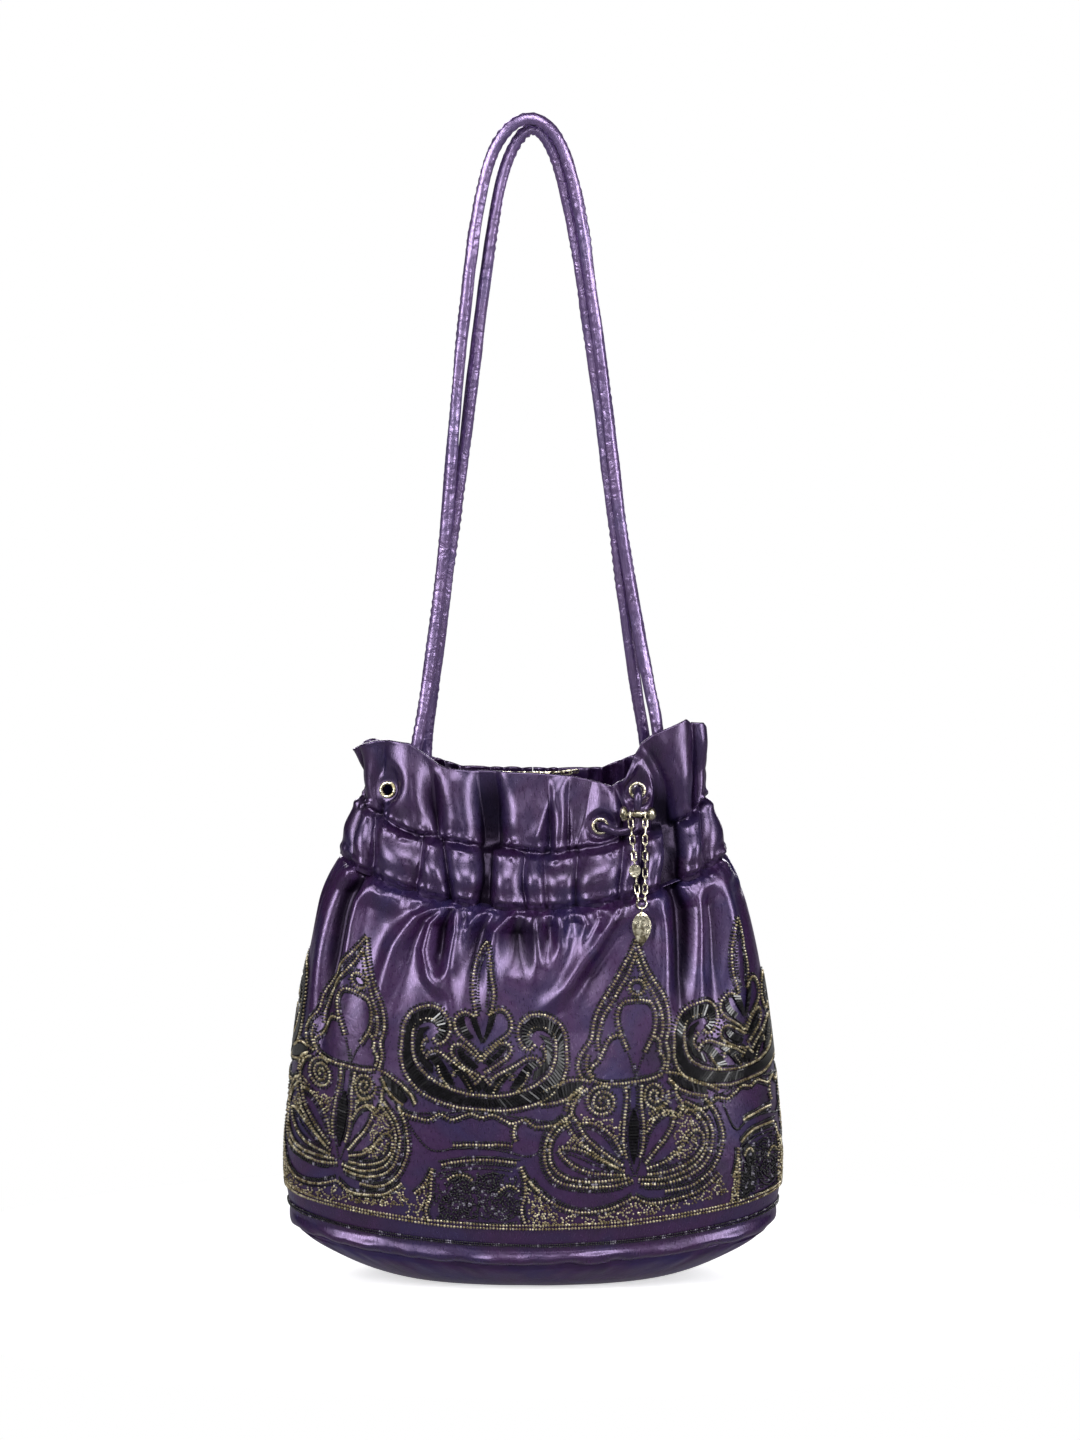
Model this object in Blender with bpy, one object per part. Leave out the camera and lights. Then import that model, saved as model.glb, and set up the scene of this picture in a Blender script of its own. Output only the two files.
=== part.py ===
"""Satin potli bag: a gathered pouch with a drawcord that is also its double strap.

Metres, +Z up. The origin is the middle of the flat bottom, on the surface the bag stands on.
The beaded front faces -Y and +X is the right side as seen from the front.
"""
import math

import bmesh
import bpy
import numpy as np
from mathutils import Matrix, Vector

# Body of the bag, outside the satin: full width, full depth and height at the middle of the front
FLAT_WIDTH = 0.100
FLAT_DEPTH = 0.068
BASE_SEAM_WIDTH = 0.241
BASE_SEAM_DEPTH = 0.118
BASE_SEAM_HEIGHT = 0.0136
BELLY_WIDTH = 0.251
BELLY_DEPTH = 0.130
BELLY_HEIGHT = 0.045
CHEST_WIDTH = 0.236
CHEST_DEPTH = 0.114
CHEST_HEIGHT = 0.118
SHOULDER_WIDTH = 0.216
SHOULDER_DEPTH = 0.091
SHOULDER_HEIGHT = 0.164
LOWER_GATHER_WIDTH = 0.192
LOWER_GATHER_DEPTH = 0.076
LOWER_GATHER_HEIGHT = 0.189
BAND_WIDTH = 0.186
BAND_DEPTH = 0.072
BAND_HEIGHT = 0.203
UPPER_GATHER_WIDTH = 0.174
UPPER_GATHER_DEPTH = 0.056
UPPER_GATHER_HEIGHT = 0.217
FRILL_WIDTH = 0.175
FRILL_DEPTH = 0.047
FRILL_HEIGHT = 0.234
RIM_WIDTH = 0.178
RIM_DEPTH = 0.040
RIM_HEIGHT = 0.253

# How much higher each line runs at the sides than at the middle
BASE_RISE = 0.0134
BELLY_RISE = 0.015
CHEST_RISE = 0.019
NECK_RISE = 0.024
LEFT_EAR_RISE = 0.018
RIGHT_EAR_RISE = 0.027

# Depth of the gathered pleats, from crest to hollow
PLEATS = 18
SHOULDER_PLEAT = 0.0010
GATHER_PLEAT = 0.0026
BAND_PLEAT = 0.0020
FRILL_PLEAT = 0.0030

# Cloth and seams
SATIN_WALL = 0.0018
LINING_WALL = 0.0010
SEAM_GAP = 0.0003
PANEL_TOP_GAP = 0.018
LINING_GAP = 0.0012
LINING_TOP_BELOW_GATHER = 0.003
LINING_BASE_SHARES = (0, 0.45, 0.8)
LINING_FIRST_LEVEL = 0.12
OVAL_POWER = 2.3

# Beaded cord laid over the panels just above the base seam
BEAD_CORD_DIAMETER = 0.0020
BEAD_CORD_ABOVE_SEAM = 0.0105

# Eyelets: hole, barrel and flange, and where they sit (x, share of the way from upper gather to rim)
EYELET_HOLE = 0.0052
EYELET_BARREL_WALL = 0.0004
EYELET_FLANGE = 0.0088
EYELET_FLANGE_THICKNESS = 0.0005
EYELET_ROUNDING = 0.0006
EYELET_CLEARANCE = 0.0003
EYELET_SEAT = 0.0012
EYELET_CUT_REACH = 0.004
EYELET_PRESSED_WIDTHS = 2.2
FRONT_EYELETS = {
    "eyelet_front_left_outer": (-0.0725, 0.48),
    "eyelet_front_right_inner": (0.0335, 0.27),
    "eyelet_front_right_outer": (0.0520, 0.61),
}
BACK_EYELETS = {
    "eyelet_back_right_outer": (0.0725, 0.44),
    "eyelet_back_left_inner": (-0.0335, 0.36),
    "eyelet_back_left_outer": (-0.0540, 0.48),
}

# Strap cords: satin tubes that narrow where they pass through an eyelet
CORD_DIAMETER = 0.0060
CORD_IN_EYELET = 0.0040

CORD_NARROW_REACH = 0.006
CORD_FULL_REACH = 0.012
CORD_MOST_RUN = 0.020
CORD_MOST_TURN_DEG = 22

# Routes of the two cords, chosen by hand. Each starts and ends inside the mouth, where its ends meet,
# goes out and in through a pair of eyelets, and between them rises and falls as one loop of the strap.
FRONT_ROUTE = (
    (0.0050, -0.0130, 0.2345), (-0.0100, -0.0130, 0.2360), (-0.0280, -0.0130, 0.2370),
    (-0.0430, -0.0122, 0.2376), (-0.0535, -0.0108, 0.2400), (-0.0597, -0.0092, 0.2455),
    (-0.0612, -0.0082, 0.2540), (-0.0590, -0.0078, 0.2640), (-0.0558, -0.0068, 0.2800),
    (-0.0520, -0.0045, 0.3050), (-0.0475, -0.0032, 0.3380), (-0.0430, -0.0032, 0.3810),
    (-0.0380, -0.0032, 0.4420), (-0.0335, -0.0032, 0.4880), (-0.0280, -0.0032, 0.5300),
    (-0.0215, -0.0032, 0.5590), (-0.0120, -0.0032, 0.5750), (-0.0010, -0.0032, 0.5800),
    (0.0095, -0.0032, 0.5740), (0.0170, -0.0032, 0.5590), (0.0235, -0.0032, 0.5320),
    (0.0300, -0.0032, 0.4880), (0.0360, -0.0032, 0.4420), (0.0435, -0.0032, 0.3810),
    (0.0505, -0.0032, 0.3380), (0.0570, -0.0045, 0.3030), (0.0615, -0.0068, 0.2800),
    (0.0625, -0.0078, 0.2640), (0.0595, -0.0080, 0.2550), (0.0538, -0.0098, 0.2482),
    (0.0514, -0.0143, 0.2461), (0.0519, -0.0187, 0.2467), (0.0523, -0.0227, 0.2468),
    (0.0523, -0.0250, 0.2436), (0.0521, -0.0251, 0.2395), (0.0520, -0.0250, 0.2350),
    (0.0513, -0.0256, 0.2312),
    (0.0490, -0.0261, 0.2285), (0.0440, -0.0268, 0.2268), (0.0385, -0.0282, 0.2277),
    (0.0345, -0.0281, 0.2299), (0.0335, -0.0240, 0.2295), (0.0332, -0.0188, 0.2286),
    (0.0300, -0.0147, 0.2285), (0.0240, -0.0134, 0.2299), (0.0140, -0.0130, 0.2323),
    (0.0056, -0.0130, 0.2344),
)
BACK_ROUTE = (
    (-0.0050, 0.0130, 0.2345), (0.0100, 0.0130, 0.2360), (0.0280, 0.0130, 0.2375),
    (0.0430, 0.0122, 0.2386), (0.0525, 0.0108, 0.2412), (0.0574, 0.0092, 0.2470),
    (0.0585, 0.0082, 0.2550), (0.0565, 0.0078, 0.2650), (0.0545, 0.0068, 0.2780),
    (0.0505, 0.0045, 0.3030), (0.0455, 0.0032, 0.3380), (0.0400, 0.0032, 0.3810),
    (0.0325, 0.0032, 0.4420), (0.0260, 0.0032, 0.4880), (0.0190, 0.0032, 0.5300),
    (0.0130, 0.0032, 0.5560), (0.0060, 0.0032, 0.5710), (-0.0010, 0.0032, 0.5750),
    (-0.0080, 0.0032, 0.5690), (-0.0140, 0.0032, 0.5550), (-0.0190, 0.0032, 0.5320),
    (-0.0255, 0.0032, 0.4880), (-0.0310, 0.0032, 0.4420), (-0.0390, 0.0032, 0.3810),
    (-0.0445, 0.0032, 0.3380), (-0.0490, 0.0045, 0.3030), (-0.0525, 0.0068, 0.2780),
    (-0.0535, 0.0078, 0.2650), (-0.0535, 0.0085, 0.2520), (-0.0536, 0.0115, 0.2415),
    (-0.0536, 0.0150, 0.2398), (-0.0540, 0.0199, 0.2407), (-0.0541, 0.0237, 0.2412),
    (-0.0515, 0.0262, 0.2400), (-0.0450, 0.0272, 0.2365), (-0.0390, 0.0276, 0.2336),
    (-0.0345, 0.0272, 0.2328), (-0.0335, 0.0234, 0.2321), (-0.0332, 0.0180, 0.2310),
    (-0.0300, 0.0145, 0.2306), (-0.0240, 0.0133, 0.2315), (-0.0140, 0.0130, 0.2330),
    (-0.0056, 0.0130, 0.2344),
)
CORD_AT_BOW = Vector((0.0520, -0.0250, 0.2360))
NARROW_PLACES = (CORD_AT_BOW, Vector((0.0450, -0.0266, 0.2270)), Vector((0.0390, -0.0281, 0.2276)),
                 Vector((-0.0450, 0.0272, 0.2365)))

# Charm chain
WIRE = 0.0008
LINK_LENGTH = 0.0060
LINK_WIDTH = 0.0034
LINK_SLACK = 0.0003
STRAND_LINKS = 10
STRAND_SPREAD = 0.0038
STRAND_FOOT_SPREAD = 0.00165
STRAND_FOOT_SLACK = 0.0007
STRAND_FOOT_SHIFT = 0.0020
BOW_X = 0.0520
BOW_HEIGHT = 0.2360
BOW_LENGTH = 0.0132
BOW_FLARE = 0.0060
BOW_WAIST = 0.0022
BOW_EDGE = 0.0006
BOW_SHOULDER = 0.0014
BOW_EYE_BORE = 0.0052
BOW_EYE_WIRE = 0.0008
BOW_BEFORE_CORD = 0.0040
RUNNING_GAP = 0.0005
CHAIN_LEAN_DEG = 12.0
PENDANT_RING_BORE = 0.0044
LEAF_LENGTH = 0.0175
LEAF_WIDTH = 0.0095
SMALL_LEAF_LENGTH = 0.0075
SMALL_LEAF_WIDTH = 0.0060
LEAF_THICKNESS = 0.0010
LEAF_RIB = 0.0006
LEAF_CUP = 0.0006
LEAF_ROWS = 8
LEAF_COLUMNS = 4
LEAF_STEM_POWER = 0.8
LEAF_ROUND_POWER = 0.85
LEAF_EYE_BORE = 0.0024
LEAF_EYE_WIRE = 0.0008
SMALL_LEAF_LINK = 6

# Chain that lies along the mouth, on the rim of the front frill
MOUTH_LINKS = 10
MOUTH_CHAIN_START_X = -0.0130
MOUTH_SLACK = 0.0006

# Facets
AROUND_YOKE = 72
AROUND_PANEL = 56
AROUND_LINING = 30
PANEL_ROWS = 7
YOKE_ROWS = 5
BASE_ROWS = 4
LINING_ROWS = 6
AROUND_EYELET = 14
AROUND_BOW = 16
LINK_STEPS = 8
RING_STEPS = 16
LEAF_EYE_STEPS = 12

LEVELS = {
    "base_seam": 0,
    "belly": 1,
    "chest": 2,
    "shoulder": 3,
    "lower_gather": 4,
    "band": 5,
    "upper_gather": 6,
    "frill": 7,
    "rim": 8,
}
HALF_WIDTHS = [
    size / 2
    for size in (
        BASE_SEAM_WIDTH, BELLY_WIDTH, CHEST_WIDTH, SHOULDER_WIDTH, LOWER_GATHER_WIDTH,
        BAND_WIDTH, UPPER_GATHER_WIDTH, FRILL_WIDTH, RIM_WIDTH,
    )
]
HALF_DEPTHS = [
    size / 2
    for size in (
        BASE_SEAM_DEPTH, BELLY_DEPTH, CHEST_DEPTH, SHOULDER_DEPTH, LOWER_GATHER_DEPTH,
        BAND_DEPTH, UPPER_GATHER_DEPTH, FRILL_DEPTH, RIM_DEPTH,
    )
]
HEIGHTS = [
    BASE_SEAM_HEIGHT, BELLY_HEIGHT, CHEST_HEIGHT, SHOULDER_HEIGHT, LOWER_GATHER_HEIGHT,
    BAND_HEIGHT, UPPER_GATHER_HEIGHT, FRILL_HEIGHT, RIM_HEIGHT,
]
LEFT_RISES = [
    BASE_RISE, BELLY_RISE, CHEST_RISE, NECK_RISE, NECK_RISE,
    NECK_RISE, NECK_RISE, (NECK_RISE + LEFT_EAR_RISE) / 2, LEFT_EAR_RISE,
]
RIGHT_RISES = [
    BASE_RISE, BELLY_RISE, CHEST_RISE, NECK_RISE, NECK_RISE,
    NECK_RISE, NECK_RISE, (NECK_RISE + RIGHT_EAR_RISE) / 2, RIGHT_EAR_RISE,
]
PLEAT_DEPTHS = [
    0, 0, 0, SHOULDER_PLEAT, GATHER_PLEAT, BAND_PLEAT, GATHER_PLEAT, FRILL_PLEAT, FRILL_PLEAT,
]


def make_material(name, color, roughness, metallic=0.0):
    material = bpy.data.materials.new(name)
    material.use_nodes = True
    shader = material.node_tree.nodes["Principled BSDF"]
    shader.inputs["Base Color"].default_value = (*color, 1)
    shader.inputs["Roughness"].default_value = roughness
    shader.inputs["Metallic"].default_value = metallic
    return material


def add_object(name, bm, material):
    """Turn a bmesh into a named, smooth-shaded object with outward faces."""
    bmesh.ops.recalc_face_normals(bm, faces=bm.faces)
    mesh = bpy.data.meshes.new(name)
    bm.to_mesh(mesh)
    bm.free()
    mesh.shade_smooth()
    mesh.set_sharp_from_angle(angle=math.radians(40))
    mesh.materials.append(material)
    obj = bpy.data.objects.new(name, mesh)
    bpy.context.collection.objects.link(obj)
    return obj


def smooth_value(values, level):
    """Read a list of station values at a fractional level, through a smooth curve."""
    index = min(int(level), len(values) - 2)
    share = level - index
    here, after = values[index], values[index + 1]
    before = values[index - 1] if index > 0 else here
    beyond = values[index + 2] if index + 2 < len(values) else after
    slope_in = (after - before) / 2
    slope_out = (beyond - here) / 2
    square, cube = share * share, share ** 3
    return (
        (2 * cube - 3 * square + 1) * here
        + (cube - 2 * square + share) * slope_in
        + (3 * square - 2 * cube) * after
        + (cube - square) * slope_out
    )


def oval_radius(angle):
    """Radius of the unit plan outline, a rounded oval fuller than an ellipse."""
    side = abs(math.cos(angle)) ** OVAL_POWER + abs(math.sin(angle)) ** OVAL_POWER
    return side ** (-1 / OVAL_POWER)


def body_point(angle, level, outward=0.0, pleated=True):
    """Point on the outside of the bag; angle 0 is the right side seam, -90 degrees the front."""
    width = smooth_value(HALF_WIDTHS, level)
    depth = smooth_value(HALF_DEPTHS, level)
    radius = oval_radius(angle)
    rises = RIGHT_RISES if math.cos(angle) > 0 else LEFT_RISES
    height = smooth_value(HEIGHTS, level) + smooth_value(rises, level) * math.cos(angle) ** 2
    normal = Vector((depth * math.cos(angle), width * math.sin(angle), 0)).normalized()
    point = Vector((width * radius * math.cos(angle), depth * radius * math.sin(angle), height))
    if pleated:
        fold = smooth_value(PLEAT_DEPTHS, level) * (1 - math.cos(PLEATS * angle)) / 2
        outward -= fold * (1 - eyelet_flatness(angle, level))
    return point + normal * outward


def angle_at(x, level, back=False):
    """Angle at which the outline of this level has the given x."""
    low, high = -math.pi, 0.0
    for _ in range(50):
        middle = (low + high) / 2
        if body_point(middle, level, pleated=False).x < x:
            low = middle
        else:
            high = middle
    return -low if back else low


def eyelet_level(share):
    return LEVELS["upper_gather"] + 2 * share


EYELET_ANGLES = [
    angle_at(x, eyelet_level(share)) for x, share in FRONT_EYELETS.values()
] + [
    angle_at(x, eyelet_level(share), back=True) for x, share in BACK_EYELETS.values()
]


def eyelet_flatness(angle, level):
    """How far the pleats are pressed flat by an eyelet near this place, 0 to 1."""
    if level <= LEVELS["band"]:
        return 0.0
    reach = EYELET_PRESSED_WIDTHS * EYELET_FLANGE / RIM_WIDTH
    wrapped = (angle + math.pi) % (2 * math.pi) - math.pi
    return max(math.exp(-(((wrapped - spot) / reach) ** 2)) for spot in EYELET_ANGLES)


def eyelet_frame(x, share, back):
    """Centre of an eyelet on the outside of the satin and its outward, sideways and up axes."""
    level = eyelet_level(share)
    angle = angle_at(x, level, back)
    step = 0.01
    across = body_point(angle + step, level) - body_point(angle - step, level)
    up = body_point(angle, level + step) - body_point(angle, level - step)
    outward = across.cross(up).normalized()
    across.normalize()
    return body_point(angle, level), outward, across, outward.cross(across)


def closed_sheet(outer, inner, wraps):
    """Close two grids of points, the outer and inner face of a cloth wall, into one body."""
    bm = bmesh.new()
    grids = [[[bm.verts.new(point) for point in row] for row in grid] for grid in (outer, inner)]
    rows, columns = len(outer), len(outer[0])
    spans = columns if wraps else columns - 1
    for grid in grids:
        for row in range(rows - 1):
            for column in range(spans):
                after = (column + 1) % columns
                corners = (
                    grid[row][column], grid[row][after],
                    grid[row + 1][after], grid[row + 1][column],
                )
                bm.faces.new(corners if grid is grids[0] else corners[::-1])
    front, rear = grids
    for row in (0, rows - 1):
        for column in range(spans):
            after = (column + 1) % columns
            bm.faces.new((front[row][after], front[row][column], rear[row][column], rear[row][after]))
    if not wraps:
        for column in (0, columns - 1):
            for row in range(rows - 1):
                bm.faces.new((
                    front[row][column], front[row + 1][column],
                    rear[row + 1][column], rear[row][column],
                ))
    return bm


def wall_grid(angles_of, levels, outward):
    return [[body_point(angle, level, outward) for angle in angles_of(level)] for level in levels]


def spaced(start, end, count):
    return [start + (end - start) * index / count for index in range(count + 1)]


def satin_panel(name, start_angle, level_range, rows, columns, material):
    """Half of the way round the bag, between two levels, open on all four edges."""
    def angles_of(level):
        depth = smooth_value(HALF_DEPTHS, level)
        width = smooth_value(HALF_WIDTHS, level)
        run = depth if abs(math.cos(start_angle)) > 0.5 else width
        margin = SEAM_GAP / 2 / run
        return spaced(start_angle + margin, start_angle + math.pi - margin, columns)

    levels = spaced(*level_range, rows)
    outer = wall_grid(angles_of, levels, 0)
    inner = wall_grid(angles_of, levels, -SATIN_WALL)
    return add_object(name, closed_sheet(outer, inner, wraps=False), material)


def base_ring(share, lift=0.0):
    """One ring of the boat-shaped base, from the flat (0) to the base seam (1)."""
    ring = []
    for index in range(AROUND_LINING):
        angle = 2 * math.pi * index / AROUND_LINING
        radius = oval_radius(angle)
        width = (FLAT_WIDTH + (BASE_SEAM_WIDTH - FLAT_WIDTH) * share) / 2
        depth = (FLAT_DEPTH + (BASE_SEAM_DEPTH - FLAT_DEPTH) * share) / 2
        height = (BASE_SEAM_HEIGHT + BASE_RISE * math.cos(angle) ** 2) * share ** 2
        shrink = lift * share
        ring.append(Vector((
            (width - shrink) * radius * math.cos(angle),
            (depth - shrink) * radius * math.sin(angle),
            height + lift,
        )))
    return ring


def make_base_panel(material):
    """Boat-shaped base: a dish with a flat middle that rises to the base seam all round."""
    top_share = 1 - 2 * SEAM_GAP / BASE_SEAM_HEIGHT
    shares = spaced(0, top_share, BASE_ROWS)
    bm = closed_sheet(
        [base_ring(share) for share in shares],
        [base_ring(share, SATIN_WALL) for share in shares],
        wraps=True,
    )
    fill_flat_middle(bm, (0, SATIN_WALL))
    return add_object("base_panel", bm, material)


def fill_flat_middle(bm, heights):
    """Close a dish's flat middle, above and below, in place of the wall round its first ring."""
    bottom, top = heights
    wall = [
        face for face in bm.faces
        if abs(min(vert.co.z for vert in face.verts) - bottom) < 1e-6
        and abs(max(vert.co.z for vert in face.verts) - top) < 1e-6
    ]
    bmesh.ops.delete(bm, geom=wall, context="FACES_ONLY")
    for height in heights:
        loop = [
            edge for edge in bm.edges
            if edge.is_boundary and all(abs(vert.co.z - height) < 1e-6 for vert in edge.verts)
        ]
        bmesh.ops.contextual_create(bm, geom=loop)


def make_lining(material):
    """Inner bag: a cup that follows the satin from inside, up to just under the upper gather."""
    drop = LINING_TOP_BELOW_GATHER / (UPPER_GATHER_HEIGHT - BAND_HEIGHT)
    levels = spaced(LINING_FIRST_LEVEL, LEVELS["upper_gather"] - drop, LINING_ROWS)
    angles = [2 * math.pi * index / AROUND_LINING for index in range(AROUND_LINING)]

    def face(extra):
        lift = SATIN_WALL + LINING_GAP + extra
        rows = [base_ring(share, lift) for share in LINING_BASE_SHARES]
        for level in levels:
            inset = lift + smooth_value(PLEAT_DEPTHS, level)
            rows.append([body_point(angle, level, -inset, pleated=False) for angle in angles])
        return rows

    bm = closed_sheet(face(0), face(LINING_WALL), wraps=True)
    bottom = SATIN_WALL + LINING_GAP
    fill_flat_middle(bm, (bottom, bottom + LINING_WALL))
    return add_object("lining", bm, material)


def make_bead_cord(material):
    """Beaded cord that runs round the panels just above the base seam."""
    radius = BEAD_CORD_DIAMETER / 2
    level = BEAD_CORD_ABOVE_SEAM / (BELLY_HEIGHT - BASE_SEAM_HEIGHT)
    stand_off = radius + SEAM_GAP
    points = [
        body_point(2 * math.pi * index / AROUND_PANEL, level, stand_off)
        for index in range(AROUND_PANEL)
    ]
    return tube("base_bead_cord", points, [radius] * len(points), material, closed=True, sides=1)


def tube(name, points, radii, material, closed=False, sides=2):
    """Round tube through the points, as a bevelled poly curve with filled ends."""
    curve = bpy.data.curves.new(name, "CURVE")
    curve.dimensions = "3D"
    curve.bevel_depth = 1.0
    curve.bevel_resolution = sides
    curve.render_resolution_u = 0
    curve.use_fill_caps = not closed
    spline = curve.splines.new("POLY")
    spline.points.add(len(points) - 1)
    for spot, point, radius in zip(spline.points, points, radii):
        spot.co = (*point, 1)
        spot.radius = radius
    spline.use_cyclic_u = closed
    spline.use_smooth = True
    curve.materials.append(material)
    obj = bpy.data.objects.new(name, curve)
    bpy.context.collection.objects.link(obj)
    return obj


def smooth_route(route):
    """Points on a smooth curve through the route: close together in a bend, far apart where straight."""
    spots = [Vector(point) for point in route]
    fine = []
    for index in range(len(spots) - 1):
        for step in range(24):
            level = index + step / 24
            fine.append(Vector(
                smooth_value([spot[axis] for spot in spots], level) for axis in range(3)
            ))
    fine.append(spots[-1])
    points = [fine[0]]
    heading = (fine[1] - fine[0]).normalized()
    run = 0.0
    for before, after in zip(fine[1:], fine[2:]):
        run += (after - before).length
        turn = math.degrees(heading.angle(after - before))
        if run > CORD_MOST_RUN or turn > CORD_MOST_TURN_DEG:
            points.append(before)
            heading = (after - before).normalized()
            run = 0.0
    points.append(fine[-1])
    return points


def strap_cord(name, route, eyelet_centres, material):
    """Satin tube along the route, drawn narrow where it passes an eyelet or the charm."""
    points = smooth_route(route)
    narrow = [*eyelet_centres, *NARROW_PLACES]
    radii = []
    for point in points:
        distance = min((point - place).length for place in narrow)
        share = (distance - CORD_NARROW_REACH) / (CORD_FULL_REACH - CORD_NARROW_REACH)
        share = min(max(share, 0.0), 1.0)
        radii.append((CORD_IN_EYELET + (CORD_DIAMETER - CORD_IN_EYELET) * share) / 2)
    return tube(name, points, radii, material)


def turned(bm, profile, segments, place):
    """Closed ring turned from a profile of (radius, height) points about the place's z axis."""
    rings = []
    for index in range(segments):
        angle = 2 * math.pi * index / segments
        rings.append([
            bm.verts.new(place @ Vector((radius * math.cos(angle), radius * math.sin(angle), height)))
            for radius, height in profile
        ])
    count = len(profile)
    for ring, after in zip(rings, rings[1:] + rings[:1]):
        for spot in range(count):
            following = (spot + 1) % count
            bm.faces.new((ring[spot], after[spot], after[following], ring[following]))


def turned_solid(bm, profile, segments, place):
    """Solid turned from a profile whose ends are closed by flat discs."""
    rings = []
    for radius, height in profile:
        rings.append([
            bm.verts.new(place @ Vector((
                radius * math.cos(2 * math.pi * index / segments),
                radius * math.sin(2 * math.pi * index / segments),
                height,
            )))
            for index in range(segments)
        ])
    for ring, after in zip(rings, rings[1:]):
        for index in range(segments):
            following = (index + 1) % segments
            bm.faces.new((ring[index], ring[following], after[following], after[index]))
    bm.faces.new(rings[0][::-1])
    bm.faces.new(rings[-1])


def placement(centre, z_axis, x_axis):
    """Matrix that puts a piece's z and x axes along the given directions."""
    z_axis = z_axis.normalized()
    x_axis = (x_axis - z_axis * x_axis.dot(z_axis)).normalized()
    y_axis = z_axis.cross(x_axis)
    turn = Matrix((x_axis, y_axis, z_axis)).transposed().to_4x4()
    return Matrix.Translation(centre) @ turn


def make_eyelet(name, frame, material):
    """Metal eyelet: a barrel through the satin with a rounded flange on each side."""
    centre, outward, across, _ = frame
    hole = EYELET_HOLE / 2
    barrel = hole + EYELET_BARREL_WALL
    flange = EYELET_FLANGE / 2
    face = EYELET_CLEARANCE + EYELET_FLANGE_THICKNESS
    back = -EYELET_SEAT - face
    profile = [
        (hole, back), (hole, face), (flange - EYELET_ROUNDING, face), (flange, EYELET_CLEARANCE),
        (barrel, EYELET_CLEARANCE), (barrel, -EYELET_SEAT - EYELET_CLEARANCE),
        (flange, -EYELET_SEAT - EYELET_CLEARANCE), (flange - EYELET_ROUNDING, back),
    ]
    bm = bmesh.new()
    turned(bm, profile, AROUND_EYELET, placement(centre - outward * seat_depth(), outward, across))
    return add_object(name, bm, material)


def seat_depth():
    """How far below the satin's outer face the pressed seat of an eyelet lies."""
    return (SATIN_WALL - EYELET_SEAT) / 2


def eyelet_cutter(bm, frame):
    """Hole for the barrel and a flat seat on each side for the flanges."""
    centre, outward, across, _ = frame
    hole = EYELET_HOLE / 2 + EYELET_BARREL_WALL + EYELET_CLEARANCE
    seat = EYELET_FLANGE / 2 + EYELET_CLEARANCE
    profile = [(seat, EYELET_CUT_REACH), (seat, 0), (hole, 0), (hole, -EYELET_SEAT),
               (seat, -EYELET_SEAT), (seat, -EYELET_SEAT - EYELET_CUT_REACH)]
    place = placement(centre - outward * seat_depth(), outward, across)
    turned_solid(bm, profile[::-1], AROUND_EYELET, place)


def cut_eyelet_holes(yoke, frames):
    bm = bmesh.new()
    for frame in frames:
        eyelet_cutter(bm, frame)
    bmesh.ops.recalc_face_normals(bm, faces=bm.faces)
    mesh = bpy.data.meshes.new(yoke.name + "_holes")
    bm.to_mesh(mesh)
    bm.free()
    cutter = bpy.data.objects.new(mesh.name, mesh)
    cutter.hide_render = True
    cutter.display_type = "WIRE"
    bpy.context.collection.objects.link(cutter)
    cut = yoke.modifiers.new("eyelet_holes", "BOOLEAN")
    cut.object = cutter
    cut.operation = "DIFFERENCE"


def link_mesh(bm, centre, along, normal, length, width, wire, steps, sides=5):
    """Oval chain link of outer length and width; its plane's normal is given."""
    along = along.normalized()
    normal = (normal - along * normal.dot(along)).normalized()
    across = normal.cross(along)
    radius = (width - wire) / 2
    straight = (length - width) / 2
    rings = []
    for index in range(steps):
        turn = 2 * math.pi * (index + 0.5) / steps
        outward = across * math.cos(turn) + along * math.sin(turn)
        middle = centre + outward * radius + along * math.copysign(straight, math.sin(turn))
        rings.append([
            bm.verts.new(
                middle
                + outward * (wire / 2 * math.cos(2 * math.pi * side / sides))
                + normal * (wire / 2 * math.sin(2 * math.pi * side / sides))
            )
            for side in range(sides)
        ])
    for ring, after in zip(rings, rings[1:] + rings[:1]):
        for side in range(sides):
            following = (side + 1) % sides
            bm.faces.new((ring[side], ring[following], after[following], after[side]))


def make_link(name, centre, along, normal, material,
              length=LINK_LENGTH, width=LINK_WIDTH, steps=LINK_STEPS):
    bm = bmesh.new()
    link_mesh(bm, centre, along, normal, length, width, WIRE, steps)
    return add_object(name, bm, material)


def unite(target, bm, name):
    """Fuse a second shape into the target with an exact union that stays on the object."""
    bmesh.ops.recalc_face_normals(bm, faces=bm.faces)
    mesh = bpy.data.meshes.new(name)
    bm.to_mesh(mesh)
    bm.free()
    tool = bpy.data.objects.new(name, mesh)
    tool.hide_render = True
    tool.display_type = "WIRE"
    bpy.context.collection.objects.link(tool)
    join = target.modifiers.new(name, "BOOLEAN")
    join.object = tool
    join.operation = "UNION"


def bow_centre():
    """Axis point of the charm's bow, in front of the front cord where it rises to its eyelet."""
    return Vector((BOW_X, CORD_AT_BOW.y - BOW_BEFORE_CORD, BOW_HEIGHT))


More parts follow.
